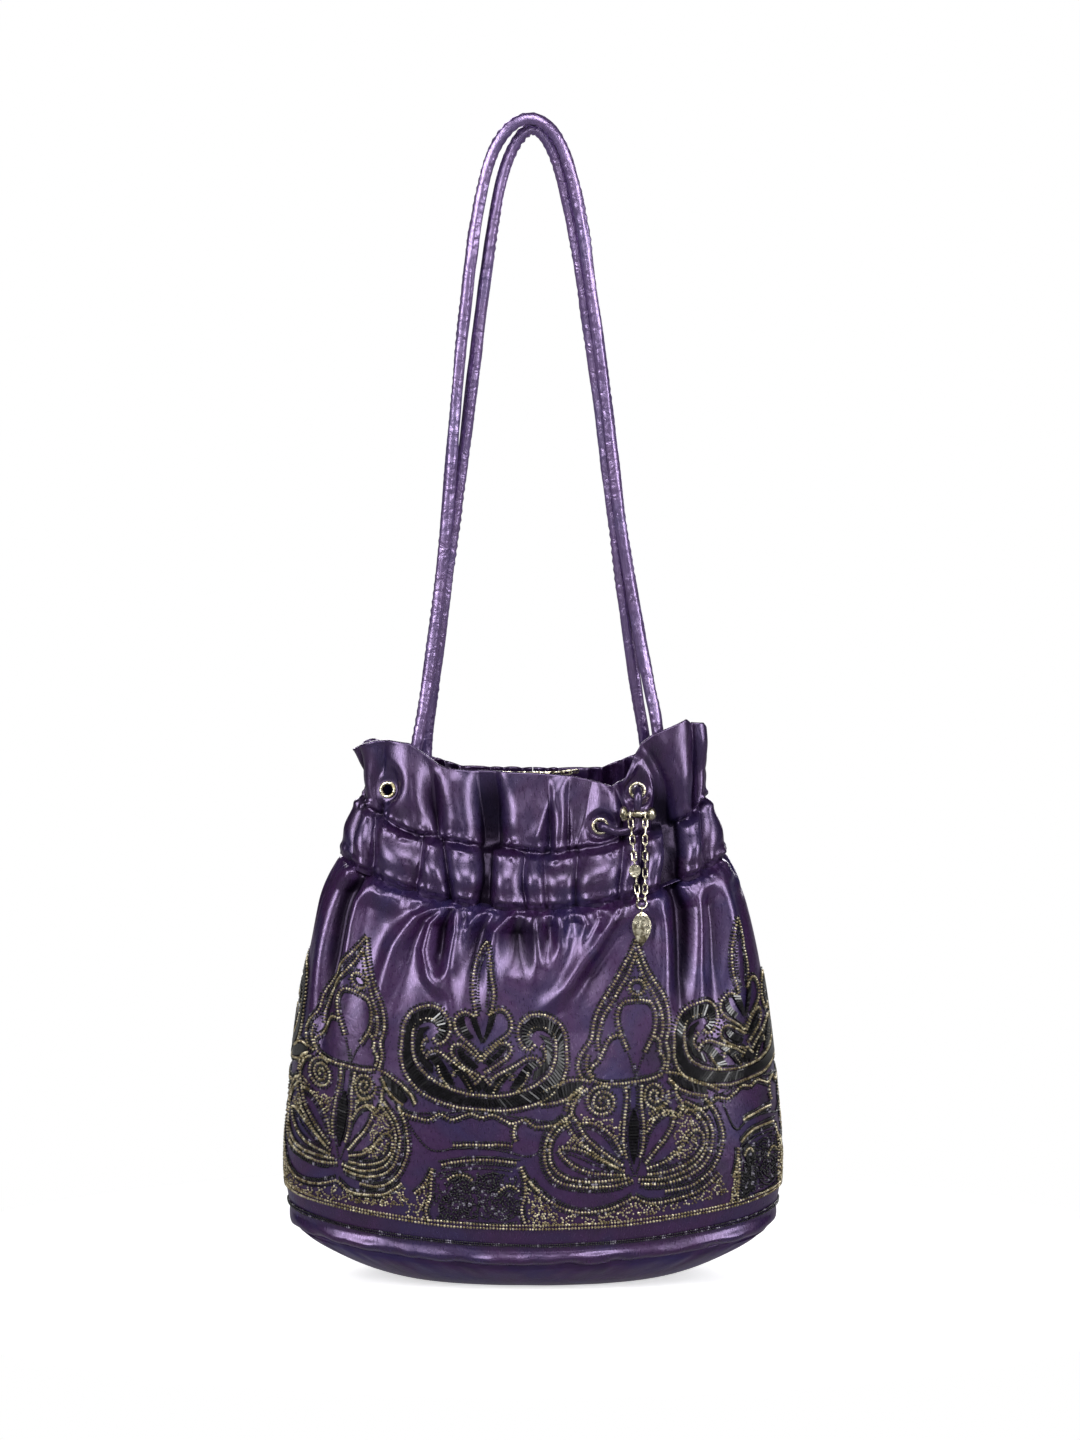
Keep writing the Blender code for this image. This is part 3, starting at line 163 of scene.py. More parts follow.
# Beadwork drawings: millimetres from the motif's own axis, and up from the base seam.
# A gold or black line is one row of seed beads, a bugle line has two edges with the bugles laid across,
# and a fill is an outline that small beads wander through.
SPIRE = (
    ("gold", (
        (7.1, 156), (2, 149.4), (-3.8, 142.5), (-10.2, 135.2), (-16.2, 128.3), (-20.4, 120.6),
        (-22.4, 112.1), (-26.8, 106.6), (-29.6, 101.4), (-29.2, 96.5), (-27.3, 93), (-23.2, 91.2),
    )),
    ("gold", (
        (5.9, 150), (-0.2, 140.5), (-5.6, 134.2), (-10.5, 128.1), (-15.3, 122.5), (-17.6, 116.5),
        (-19.2, 111), (-18.6, 106.1),
    )),
    ("gold", (
        (7.1, 156), (9.5, 144.1), (13.7, 134.9), (17.7, 127.1), (19.4, 118.3), (18.9, 111.3), (17, 106),
        (17.8, 99.6), (16.5, 94), (15.7, 90.3),
    )),
    ("gold", (
        (5.6, 148.6), (8.2, 138.2), (11.8, 130.5), (14.9, 122.9), (15.9, 116.1), (15.3, 111.5),
        (14.2, 108.3),
    )),
    ("gold", (
        (4.5, 137.2), (7.4, 135.7), (8.4, 133), (6.7, 130.7), (3.6, 130.1), (0.8, 131.6), (-0.3, 134.4),
        (1.4, 136.7), (4.5, 137.2),
    )),
    ("gold", (
        (-3.5, 104.4), (-5.7, 110.3), (-7.4, 115.3), (-8.1, 120.9), (-6.5, 125.5), (-3.5, 127.9),
        (1.1, 127.9), (5.5, 127.3), (10, 125.9), (12.1, 122), (12.3, 116.3), (10.5, 110.4), (7.4, 105.6),
        (5.1, 102.1),
    )),
    ("black", (
        (-3.6, 103.8), (-2.2, 98.8), (-1, 92.8),
    )),
    ("black", (
        (4.8, 101.7), (2.4, 97.2), (-0, 91.7),
    )),
    ("black", (
        (-0.4, 98.5), (-0.3, 94.6), (-0.6, 90.3),
    )),
    ("gold", (
        (-6.9, 112.2), (-10.8, 112.4), (-14.2, 109.7), (-16.9, 104.8), (-19.6, 100.7), (-22.7, 98.5),
        (-23.6, 95.6), (-21.7, 93.3),
    )),
    ("gold", (
        (10.5, 109.4), (13.1, 107.3), (13.6, 104.1), (12.6, 101.4), (14.9, 99.1), (15, 95.2),
        (13.7, 92.5),
    )),
    ("gold", (
        (-24.3, 104.9), (-25.2, 101.1), (-25.3, 97.7), (-23.9, 94.7), (-21.8, 91.8), (-18, 90.1),
        (-12.5, 89.3), (-6.9, 89), (0.8, 89.1), (8.2, 89.5), (14, 91),
    )),
    ("black", (
        (-20.6, 92.5), (-15.5, 91.3), (-8.3, 90.8), (-0, 91), (7.3, 91.4), (12.1, 92.3),
    )),
    ("gold", (
        (-17.9, 80.5), (-18.5, 80.5), (-19.1, 80.8), (-19.5, 81.4), (-19.4, 82.3), (-18.9, 83),
        (-17.8, 83.4), (-16.6, 83.2), (-15.4, 82.4), (-14.9, 81), (-15.1, 79.5), (-16.2, 78.3),
        (-18, 77.8), (-20, 78.2), (-21.6, 79.6), (-22.4, 81.7), (-21.9, 83.8), (-20.2, 85.5),
        (-17.7, 86.1), (-15, 85.4), (-12.9, 83.5), (-12, 80.7), (-12.7, 77.9), (-14.9, 75.8),
        (-18.1, 75.1), (-21.5, 76), (-24.2, 78.5), (-25.3, 81.9), (-24.4, 85.4), (-21.6, 88),
        (-17.6, 88.9), (-13.4, 87.6),
    )),
    ("gold", (
        (9, 80.7), (9.4, 80.5), (9.9, 80.7), (10.3, 81.2), (10.4, 82), (10, 82.9), (9.1, 83.6),
        (8, 83.6), (7, 83), (6.3, 81.8), (6.4, 80.2), (7.3, 78.7), (8.8, 77.8), (10.6, 77.8),
        (12.1, 78.9), (13, 80.8), (12.8, 83.1), (11.5, 85.2), (9.3, 86.5), (6.8, 86.4), (4.7, 84.8),
        (3.7, 82.2), (4, 79.1), (5.8, 76.4), (8.6, 74.9), (11.7, 75.1), (14.4, 77),
    )),
    ("gold", (
        (-5.7, 87.5), (-5.5, 80.7), (-7.1, 71.3), (-8, 60), (-6.7, 52),
    )),
    ("gold", (
        (2.6, 87.4), (1.8, 77.8), (2.5, 69), (1.9, 58.8), (-0.2, 51.7),
    )),
    ("black", (
        (-3.3, 88.2), (-3.9, 80.5), (-4, 74.7),
    )),
    ("black", (
        (0, 88.3), (-0.3, 80.1), (-1, 74.3),
    )),
    ("bugle", (
        (-2.6, 76.4), (-4.7, 70.8), (-5.5, 63.1), (-5, 56.2), (-3.5, 49.2),
    ), (
        (-2.1, 76.4), (-0.1, 70.3), (-0.3, 62.5), (-1.3, 55.8), (-3, 49.1),
    )),
    ("black", (
        (-5.9, 52.4), (-4.3, 47.3), (-3.2, 42.8),
    )),
    ("black", (
        (0.6, 51.6), (-1.1, 46.9), (-2.5, 42.7),
    )),
    ("gold", (
        (-30.3, 71.2), (-27.1, 65), (-21.5, 59.2), (-15, 53.8), (-8.5, 49),
    )),
    ("gold", (
        (-30.3, 71.2), (-25.3, 71.5), (-20.3, 69.7), (-14.7, 65.3), (-10.9, 59.5), (-8.6, 53.7),
    )),
    ("black", (
        (-27.9, 69), (-21.4, 67.1), (-16.1, 62.2), (-12.7, 57), (-9.9, 51.8),
    )),
    ("gold", (
        (3.6, 63.4), (7.3, 68.6), (12.7, 71.9), (17.8, 72.2),
    )),
    ("gold", (
        (17.8, 72.2), (17.5, 66.2), (12.6, 58.9), (7.2, 53.8), (2.2, 48.3),
    )),
    ("black", (
        (15.3, 70.5), (10, 67.9), (5.6, 62.7), (2.8, 56.2),
    )),
    ("gold", (
        (-32.7, 76.6), (-36.3, 73.4), (-33.9, 67.9), (-29.5, 61.8), (-23.7, 57), (-17.3, 52), (-11, 48),
    )),
    ("gold", (
        (-40.4, 59), (-34.6, 59.7), (-28.1, 57.6), (-21.6, 54), (-14.4, 49.6), (-7.8, 46),
    )),
    ("gold", (
        (-40.4, 59), (-37.9, 54.9), (-32, 50), (-23.9, 46.6), (-15.5, 45.2), (-7.6, 44.2),
    )),
    ("black", (
        (-36.5, 57.2), (-30.6, 54.9), (-24.3, 51.6), (-16.5, 48), (-9.1, 45.4),
    )),
    ("gold", (
        (2.9, 45.9), (7.4, 47), (12.4, 48.1), (17.1, 50.7), (21.3, 54.5), (25.2, 59), (29.3, 60.8),
        (32.8, 58.5),
    )),
    ("gold", (
        (32.8, 58.5), (32.7, 53.2), (28.9, 48.3), (22, 45), (12.7, 43.2), (2.8, 43.2),
    )),
    ("black", (
        (29.7, 57.2), (27.8, 52.2), (22.3, 47.8), (14, 45.6), (3.8, 44.6),
    )),
    ("gold", (
        (-33.8, 72.8), (-39.4, 69.1), (-42.9, 64.8), (-44.7, 59.9), (-44.5, 54), (-42, 49),
        (-36.6, 44.9), (-28.4, 42.6), (-17.8, 42.2), (-5.4, 42.7),
    )),
    ("gold", (
        (-36.3, 74.8), (-41.8, 70.6), (-45.4, 65.3), (-47.1, 59.4), (-46.9, 52.5), (-44.3, 46.6),
        (-38.7, 42.3), (-28.4, 40), (-16.3, 39.3), (-9.2, 40), (-3.5, 41.3),
    )),
    ("black", (
        (-37.8, 76.6), (-43.8, 72.1), (-47.9, 66.3), (-49.5, 59.9), (-49.2, 52.1), (-46.2, 45.1),
        (-40.1, 40.2), (-28.4, 37.8), (-15.7, 37.1), (-8.8, 37.9),
    )),
    ("gold", (
        (22.4, 74.1), (28, 70.1), (32.5, 65.4), (35, 59.5), (34.6, 53.3), (32.1, 48), (27.2, 43.9),
        (19.6, 41.3), (9.4, 40.1), (-1.5, 41.3),
    )),
    ("gold", (
        (24.1, 75.7), (30.3, 71.6), (35.3, 66.2), (37.8, 59.9), (37.6, 53.1), (34.7, 46), (29.3, 41.4),
        (20.9, 38.6), (10.2, 37.6), (-0.3, 39),
    )),
    ("black", (
        (32.7, 75), (37.8, 69.6), (40.8, 62.1), (41.2, 53.3), (37.9, 45.3), (31.9, 39.4), (23.4, 36.2),
        (11.1, 35.5), (1.6, 36.5),
    )),
    ("gold", (
        (35, 75), (39.9, 68.6), (42.8, 60.9), (43.5, 52.8), (39.6, 44.1), (33.4, 37.9), (24.6, 34.2),
        (11.6, 33.7),
    )),
    ("gold", (
        (-24.8, 88.4), (-29, 85.7), (-31.9, 81.5), (-33.5, 76.7), (-30.3, 71.2),
    )),
    ("gold", (
        (-26.9, 89.5), (-32, 86.9), (-35.1, 82.6), (-36.2, 77.3),
    )),
    ("gold", (
        (16.6, 88.2), (20, 84.2), (20.2, 79.8), (23, 74.9), (22, 71.1), (18.3, 68.5),
    )),
    ("gold", (
        (15.6, 82.5), (16.4, 78.5), (13.5, 75.1), (8.8, 73.9), (5.1, 72.5),
    )),
    ("bugle", (
        (-27.8, 92), (-34.1, 91.5), (-41.2, 89.2), (-48.8, 85.5),
    ), (
        (-28.4, 89.9), (-33.8, 86.3), (-40.1, 83.8), (-48.3, 82.5),
    )),
    ("gold", (
        (-26.8, 92.4), (-34, 92.8), (-41.7, 90.3), (-49.8, 86.5),
    )),
    ("gold", (
        (-27.7, 88.6), (-33.6, 84.8), (-40.1, 82.3), (-49.3, 81),
    )),
    ("bugle", (
        (17.7, 89.2), (22.4, 87.4), (29.4, 83.7), (37, 79.2),
    ), (
        (18.6, 87.1), (23.1, 83.2), (29.9, 79.3), (36.2, 77.1),
    )),
    ("gold", (
        (16.6, 90.9), (21, 89.7), (29.5, 85.1), (37.7, 80.7), (43.6, 76.9),
    )),
    ("gold", (
        (17.3, 87.1), (22.1, 82.1), (29.8, 77.9), (37.2, 75.7),
    )),
    ("gold", (
        (-54.3, 43.7), (-50.9, 38.7), (-43.8, 32.9), (-36.8, 29.2), (-29, 27.3), (-17.9, 27.9),
        (-9.9, 30.1), (-3.6, 33),
    )),
    ("gold", (
        (-3.6, 33), (2.5, 29.4), (8.5, 28.6), (15.1, 28.9), (21.7, 29.6), (27.9, 30.7), (32.2, 32.5),
        (36.8, 35.1), (40.5, 37.9),
    )),
    ("black", (
        (-52.8, 45.4), (-48.9, 40.2), (-42.6, 34.9), (-35.8, 31.4), (-28.5, 29.4), (-18.7, 29.9),
        (-10.8, 32.2), (-4.4, 35.2),
    )),
    ("black", (
        (-2.9, 35), (3, 31.5), (9, 30.6), (15.1, 30.9), (21.2, 31.7), (26.9, 33), (31.2, 34.8),
        (35, 37.1),
    )),
    ("gold_fill", (
        (-25.2, 74.7), (-30.7, 77), (-28.8, 72), (-20.3, 70.4), (-14.4, 66.5), (-9.6, 60.1),
        (-8.2, 71.2), (-12.7, 72.7), (-19.3, 71.8),
    )),
    ("gold_fill", (
        (3.2, 65.9), (6.1, 72.4), (13.4, 73.7), (21.7, 71.8), (18.4, 69.5), (11.2, 71.1),
    )),
    ("gold_fill", (
        (19.6, 71.2), (26.9, 69.9), (32.4, 63.9), (32.6, 60), (26.3, 61.2), (18.5, 53.9), (16.7, 58.1),
        (19.7, 64.9),
    )),
    ("gold_fill", (
        (-39.4, 63.7), (-32.9, 68.3), (-27, 62.1), (-23.7, 57), (-32, 60.4), (-39.5, 60.2),
    )),
    ("gold_fill", (
        (12.6, 49.9), (26.1, 59.3), (31.3, 56.4), (27.7, 50.3), (20.2, 46.7),
    )),
    ("gold_fill", (
        (-36.1, 85.1), (-27.9, 87.6), (-31.1, 81), (-34.7, 78.2),
    )),
    ("gold_fill", (
        (-54.3, 40.2), (-43.6, 30.2), (-29.9, 25.2), (-17.2, 25.8), (-3.4, 30.4), (-3.3, 22.4),
        (-20.1, 21.5), (-37.2, 20.9), (-53.3, 20.2),
    )),
    ("gold_fill", (
        (-3.4, 30.4), (9.5, 26.8), (24.8, 27.8), (35.4, 32.7), (42.1, 36.6), (46, 27), (32.2, 25.4),
        (14.7, 24), (-2.3, 22.8),
    )),
)
CROWN = (
    ("gold", (
        (-0.8, 159.7), (-4, 155.1), (-6.7, 148.4), (-7.7, 140.4), (-7.2, 133.3), (-5.2, 126.5),
        (-4.5, 122.8),
    )),
    ("gold", (
        (-0.8, 159.7), (1.5, 151.6), (2.7, 142.9), (4.6, 135.1), (3.8, 127.9), (1.9, 123.7),
    )),
    ("black", (
        (-1.6, 153.6), (-3.8, 146.7), (-4.7, 139.4), (-4, 131.8), (-2.4, 125.3),
    )),
    ("black", (
        (-0.2, 151.3), (0.7, 142.7), (1.2, 135.1), (0.4, 127.4),
    )),
    ("gold", (
        (-5.3, 122.4), (-10.3, 124.7), (-14.6, 122.3), (-15.7, 118.2), (-13.3, 113.7), (-8.6, 110.1),
        (-4.1, 106.4), (-1.3, 103.4),
    )),
    ("gold", (
        (2.6, 124.2), (6.8, 127.3), (11.4, 126.2), (14.2, 121.1), (13.3, 116.3), (9.5, 113),
        (4.4, 109.3), (0.2, 105), (-1.3, 103.4),
    )),
    ("bugle", (
        (-8.2, 123.6), (-6.1, 118.2), (-3.5, 113.6), (-1.2, 109.9),
    ), (
        (-4.4, 122), (-2.7, 118), (-1.4, 114.7), (-0.5, 111.4),
    )),
    ("bugle", (
        (6.1, 125.6), (4.5, 119), (2.3, 114), (0.1, 110),
    ), (
        (2.5, 123), (1.3, 118.3), (0.3, 114.9), (-0.6, 111.4),
    )),
    ("bugle", (
        (-13.5, 121.3), (-13.2, 118), (-11.2, 114.4), (-7.9, 111.3),
    ), (
        (-10.9, 122.6), (-10.3, 119.3), (-8.4, 116.1), (-5.3, 113),
    )),
    ("gold", (
        (-2, 94.3), (-8.1, 97), (-13.4, 100.6), (-16.6, 104.5), (-15.8, 108.1), (-12, 108.8),
        (-7.6, 106.3), (-4.4, 104.1), (-1.1, 101.2),
    )),
    ("gold", (
        (0.5, 95.9), (6.7, 100), (11.8, 103.7), (14.2, 108.3), (11.9, 111.2), (7.2, 110), (3.1, 106.3),
        (0.8, 103.5), (-1.1, 101.2),
    )),
    ("bugle", (
        (-14.1, 105.9), (-12.2, 102.7), (-8.4, 99.6), (-4.2, 97.3),
    ), (
        (-11.8, 106.8), (-9.1, 104.4), (-5.4, 101.7), (-2.2, 98.9),
    )),
    ("bugle", (
        (12.1, 109), (9.6, 105.4), (6, 102.3), (2.5, 99.5),
    ), (
        (9.2, 108.8), (6.7, 106.1), (3.7, 103.6), (0.6, 100.8),
    )),
    ("gold", (
        (-14.3, 59.2), (-6.6, 60.2), (1.4, 60.6), (9.6, 61.1), (15.8, 60.5),
    )),
    ("gold", (
        (17.2, 71.4), (15.9, 67.2), (17.2, 62.8),
    )),
    ("gold", (
        (-19.7, 49.1), (-14.3, 50.9), (-7.4, 52.4), (-0.1, 53.4), (8.4, 53.3), (17.8, 52.5),
    )),
    ("black", (
        (-21.2, 50.7), (-14.3, 52.6), (-7.4, 54.1), (-0.2, 54.9), (8.4, 55), (19.7, 54),
    )),
    ("gold", (
        (-23.8, 47.4), (-24.2, 40.3), (-24.5, 32.8), (-26.8, 25.6), (-24.9, 20.3),
    )),
    ("gold", (
        (19.5, 51), (21.5, 44.2), (21.8, 36.7), (20.1, 29.2), (21.8, 22.2),
    )),
    ("gold", (
        (-32.7, 33.3), (-29.3, 36.7), (-26.4, 41), (-23.8, 47.4),
    )),
    ("gold", (
        (19.5, 51), (21.7, 46.1), (24.7, 42.2), (29.1, 38.7),
    )),
    ("black", (
        (-20.1, 47.4), (-12.7, 49), (-5.4, 50.5), (2, 51.2), (9.4, 51.1), (16.3, 50.3),
    )),
    ("black", (
        (-19.6, 45.5), (-12.7, 47.1), (-5.3, 48.6), (2.1, 49.3), (9.5, 49.1), (15.8, 48.3),
    )),
    ("black", (
        (-4.2, 34.4), (-3.7, 31.9), (-4.4, 29), (-6.4, 26.4), (-9.2, 24.2), (-12.4, 23), (-15.5, 22.8),
        (-18.1, 23.8), (-19.7, 25.7), (-20.2, 28.3), (-19.4, 31.1), (-17.5, 33.8), (-14.8, 36),
        (-11.6, 37.2), (-8.5, 37.3), (-5.9, 36.3), (-4.2, 34.4),
    )),
    ("black", (
        (-5.9, 33.5), (-5.6, 31.5), (-6.2, 29.4), (-7.7, 27.4), (-9.9, 25.8), (-12.3, 24.8),
        (-14.7, 24.7), (-16.7, 25.3), (-17.9, 26.7), (-18.3, 28.6), (-17.6, 30.8), (-16.2, 32.8),
        (-14, 34.5), (-11.6, 35.4), (-9.2, 35.6), (-7.2, 34.9), (-5.9, 33.5),
    )),
    ("black", (
        (-7.9, 32.4), (-7.7, 31.1), (-8.1, 29.7), (-9.1, 28.4), (-10.6, 27.3), (-12.2, 26.7),
        (-13.8, 26.5), (-15.1, 27), (-15.9, 27.9), (-16.1, 29.1), (-15.7, 30.5), (-14.7, 31.9),
        (-13.3, 33), (-11.7, 33.6), (-10.1, 33.7), (-8.8, 33.3), (-7.9, 32.4),
    )),
    ("black", (
        (-9.9, 31.3), (-9.8, 30.7), (-10.1, 30), (-10.6, 29.4), (-11.3, 28.8), (-12.1, 28.5),
        (-12.9, 28.4), (-13.5, 28.6), (-13.9, 29), (-14, 29.6), (-13.8, 30.3), (-13.3, 30.9),
        (-12.5, 31.4), (-11.7, 31.8), (-10.9, 31.9), (-10.3, 31.7), (-9.9, 31.3),
    )),
    ("black", (
        (17, 27.3), (15.1, 25.3), (12.4, 24.2), (9.2, 24.2), (6.2, 25.3), (3.6, 27.3), (1.9, 29.9),
        (1.4, 32.8), (2.2, 35.5), (4, 37.6), (6.7, 38.7), (9.9, 38.7), (13, 37.6), (15.6, 35.6),
        (17.2, 32.9), (17.7, 30), (17, 27.3),
    )),
    ("black", (
        (15.3, 28.3), (13.9, 26.7), (11.8, 25.9), (9.4, 26), (7, 26.8), (5, 28.4), (3.7, 30.4),
        (3.3, 32.6), (3.9, 34.6), (5.3, 36.1), (7.3, 37), (9.7, 36.9), (12.1, 36.1), (14.1, 34.5),
        (15.4, 32.5), (15.8, 30.3), (15.3, 28.3),
    )),
    ("black", (
        (13.4, 29.4), (12.5, 28.4), (11.2, 28), (9.6, 28), (8, 28.6), (6.7, 29.6), (5.8, 30.9),
        (5.5, 32.3), (5.8, 33.6), (6.7, 34.5), (8, 35), (9.6, 34.9), (11.2, 34.3), (12.5, 33.3),
        (13.4, 32), (13.7, 30.6), (13.4, 29.4),
    )),
    ("black", (
        (11.5, 30.4), (11.1, 30), (10.4, 29.8), (9.6, 29.9), (8.9, 30.2), (8.2, 30.7), (7.7, 31.3),
        (7.5, 31.9), (7.7, 32.5), (8.1, 33), (8.8, 33.2), (9.5, 33.1), (10.3, 32.8), (11, 32.3),
        (11.4, 31.7), (11.6, 31), (11.5, 30.4),
    )),
    ("black", (
        (-3.5, 38.6), (-4.8, 37.5), (-6.7, 37), (-8.8, 37.3), (-11, 38.2), (-12.7, 39.6), (-13.9, 41.4),
        (-14.2, 43.3), (-13.7, 44.9), (-12.5, 46.1), (-10.6, 46.6), (-8.4, 46.4), (-6.3, 45.4),
        (-4.5, 43.9), (-3.4, 42.1), (-3, 40.3), (-3.5, 38.6),
    )),
    ("black", (
        (-5.2, 39.7), (-6, 39), (-7.2, 38.8), (-8.6, 39), (-10, 39.7), (-11.2, 40.6), (-12, 41.8),
        (-12.4, 42.9), (-12.1, 43.9), (-11.3, 44.6), (-10.1, 44.8), (-8.7, 44.6), (-7.3, 43.9), (-6, 43),
        (-5.2, 41.8), (-4.9, 40.6), (-5.2, 39.7),
    )),
    ("black", (
        (-7, 40.8), (-7.3, 40.6), (-7.9, 40.5), (-8.5, 40.6), (-9.2, 41), (-9.8, 41.4), (-10.2, 41.9),
        (-10.3, 42.4), (-10.3, 42.8), (-9.9, 43.1), (-9.4, 43.1), (-8.7, 43), (-8.1, 42.7), (-7.5, 42.2),
        (-7.1, 41.7), (-6.9, 41.2), (-7, 40.8),
    )),
    ("black", (
        (11, 44.7), (10.9, 43), (9.9, 41.3), (8.1, 39.7), (5.7, 38.7), (3.2, 38.2), (0.9, 38.4),
        (-0.8, 39.2), (-1.7, 40.6), (-1.7, 42.3), (-0.7, 44), (1.1, 45.6), (3.5, 46.7), (6, 47.1),
        (8.3, 46.9), (10.1, 46.1), (11, 44.7),
    )),
    ("black", (
        (9.1, 44.1), (9, 43.1), (8.2, 42), (6.9, 41), (5.3, 40.3), (3.5, 39.9), (1.9, 40), (0.7, 40.4),
        (0.1, 41.2), (0.2, 42.2), (1, 43.3), (2.3, 44.3), (4, 45), (5.7, 45.4), (7.3, 45.3), (8.5, 44.9),
        (9.1, 44.1),
    )),
    ("black", (
        (7, 43.4), (6.9, 43), (6.5, 42.5), (5.8, 42.1), (4.9, 41.7), (4, 41.5), (3.1, 41.5), (2.5, 41.6),
        (2.3, 41.9), (2.3, 42.3), (2.8, 42.8), (3.5, 43.3), (4.4, 43.6), (5.3, 43.8), (6.1, 43.9),
        (6.7, 43.7), (7, 43.4),
    )),
    ("black", (
        (-1.3, 47.3), (-1.7, 41.3), (-0.7, 35.4), (-1.1, 29.5), (-1.7, 23.4),
    )),
    ("gold", (
        (8.6, 37.4), (12, 40.5), (15.9, 40.9), (19.1, 38.2),
    )),
    ("gold", (
        (-16.5, 42.1), (-12.6, 44.7), (-7.2, 44.9), (-3.7, 42.7),
    )),
    ("black", (
        (-21.9, 23.2), (-15, 21.8), (-8.1, 21.7), (-1.2, 21.9), (6.6, 22), (13.5, 22.3), (18.3, 23.2),
    )),
    ("black_fill", (
        (-21.6, 45.5), (16.8, 48.5), (19.8, 39.2), (18.8, 24.7), (-22.8, 23), (-22.8, 35.5),
    )),
    ("gold_fill", (
        (-30.7, 33.6), (-25, 42.2), (-25.2, 32.3), (-27.9, 21.9), (-37.9, 21.6), (-34.7, 28.1),
    )),
    ("gold_fill", (
        (22.2, 42.2), (26.2, 38.2), (31.5, 31.2), (32, 21.6), (23.2, 23.2), (22.7, 34.3),
    )),
)
CROWN_HALF = (
    ("gold", (
        (-26.9, 110.8), (-23.8, 108), (-20, 110.1), (-17.7, 115.6), (-19.2, 120.9), (-24.5, 124.9),
        (-31.9, 124.9), (-39.1, 120.9), (-42.6, 114.8), (-43, 108.1), (-43, 99.4), (-39.7, 90.9),
        (-33.2, 84.6), (-24.4, 80.7), (-11.7, 78.1), (1, 78),
    )),
    ("gold", (
        (-22.8, 114.7), (-25, 118.2), (-28.7, 119.2), (-33.1, 118.1), (-36.5, 115.2), (-37.6, 110.9),
        (-37, 103.3), (-34.2, 96.6), (-27, 90.9), (-17.9, 87.2), (-7.6, 85.1), (0.8, 84.9),
    )),
    ("bugle", (
        (-24.4, 109.8), (-21.3, 111.6), (-19.7, 115.6), (-20.9, 119.8), (-25.1, 123.3), (-31.7, 123.4),
        (-37.8, 119.9), (-41.1, 114.4), (-41.5, 108.4), (-41.6, 99.7), (-38.4, 91.8), (-32.2, 85.9),
        (-23.8, 82.2), (-11.2, 79.7), (1, 79.4),
    ), (
        (-25.6, 112.5), (-24, 113.1), (-23.6, 115.4), (-25.2, 117.3), (-28.5, 118.1), (-32.5, 117),
        (-35.4, 114.7), (-39, 111.4), (-38.8, 106.9), (-38.5, 102.6), (-35.4, 95.9), (-28, 89.9),
        (-18.3, 86), (-7.9, 83.8), (0.8, 83.6),
    )),
    ("gold", (
        (-29.2, 110), (-32, 107.9), (-32.5, 104.7), (-30.7, 101.9),
    )),
    ("bugle", (
        (-33.8, 113.7), (-35.4, 110.3), (-35.1, 104.1), (-32, 97.8), (-25.4, 92.9),
    ), (
        (-28.8, 115.6), (-31.8, 112.3), (-32.9, 107.8), (-32.1, 102.6), (-26.5, 97.4),
    )),
    ("gold", (
        (-30.2, 97.8), (-29.6, 101.2), (-27.4, 103.8), (-23.1, 104), (-18.6, 101.5), (-13.3, 98.4),
        (-8, 95.8), (-3.5, 92.2),
    )),
    ("bugle", (
        (-28.3, 100.5), (-25.7, 98.2), (-22.4, 94), (-18.8, 89.6),
    ), (
        (-25.7, 102.2), (-22.5, 101.2), (-18.3, 96.2), (-13.6, 88.7),
    )),
    ("gold", (
        (-23.6, 97.7), (-21.9, 93.4), (-17.4, 87.3),
    )),
    ("bugle", (
        (-17.7, 98.7), (-13.9, 95.2), (-10.6, 91.6), (-7.4, 87),
    ), (
        (-15.4, 99.1), (-10.8, 96.1), (-6.6, 92.5), (-2.8, 86.9),
    )),
    ("gold", (
        (-15.6, 92.6), (-14.2, 95.9), (-11.3, 95), (-8, 90.9), (-5.1, 86),
    )),
    ("gold", (
        (-4.4, 90), (-1.9, 92.1), (0, 94.9),
    )),
    ("bugle", (
        (-4.6, 88.7), (-2.6, 90.3), (0.3, 93.5),
    ), (
        (-2.8, 85.9), (-0.8, 87.3), (0.7, 89.6),
    )),
    ("black", (
        (-42.9, 75.8), (-35.4, 73), (-24.2, 74.1), (-11.1, 76.2),
    )),
    ("gold", (
        (-42.5, 74.4), (-39.5, 71.7), (-33.2, 70.7), (-27.1, 70.3), (-24.6, 71.8), (-21.6, 73.9),
        (-18, 72.8), (-14.7, 71.8), (-10.5, 73.6), (-5.5, 75.6), (0.1, 73.9),
    )),
    ("black", (
        (-39.4, 70), (-36.3, 66.6), (-32.8, 62.2), (-27.5, 57.3), (-21.9, 55.8), (-14.2, 57.7),
        (-6.5, 58.7), (1.4, 59.1),
    )),
)

# Motifs in turn round the bag: drawing, place in metres, how much the lower part narrows on each side,
# how far the tip leans to the right, and its height
MOTIFS = (
    ("spire", -0.0951, 1.0, 0.76, -0.0085, 0.955), ("crown", -0.0256, 1.0, 1.0, 0.0, 1.0),
    ("spire", 0.0529, 1.0, 1.0, 0.0, 1.0), ("crown", 0.1157, 0.45, 1.0, 0.007, 0.945),
    ("spire", 0.1963, 1.0, 0.95, -0.006, 1.0), ("crown", 0.2768, 1.0, 1.0, 0.002, 1.0),
    ("spire", 0.3574, 1.0, 0.95, -0.004, 0.98), ("crown", 0.4379, 1.0, 1.0, 0.0, 1.02),
)
LEAN_START = 0.080
LEAN_REACH = 0.076
LOW_PART_TOP = 0.074
LOW_PART_BLEND = 0.012
RAIL_HEIGHT = 0.0195
BASE_CORD_HEIGHT = 0.0105

METAL_NODES = [
    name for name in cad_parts
    if "link" in name or name in ("charm_bow", "pendant_ring", "leaf_pendant", "small_leaf")
]
EYELET_NODES = [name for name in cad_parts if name.startswith("eyelet")]


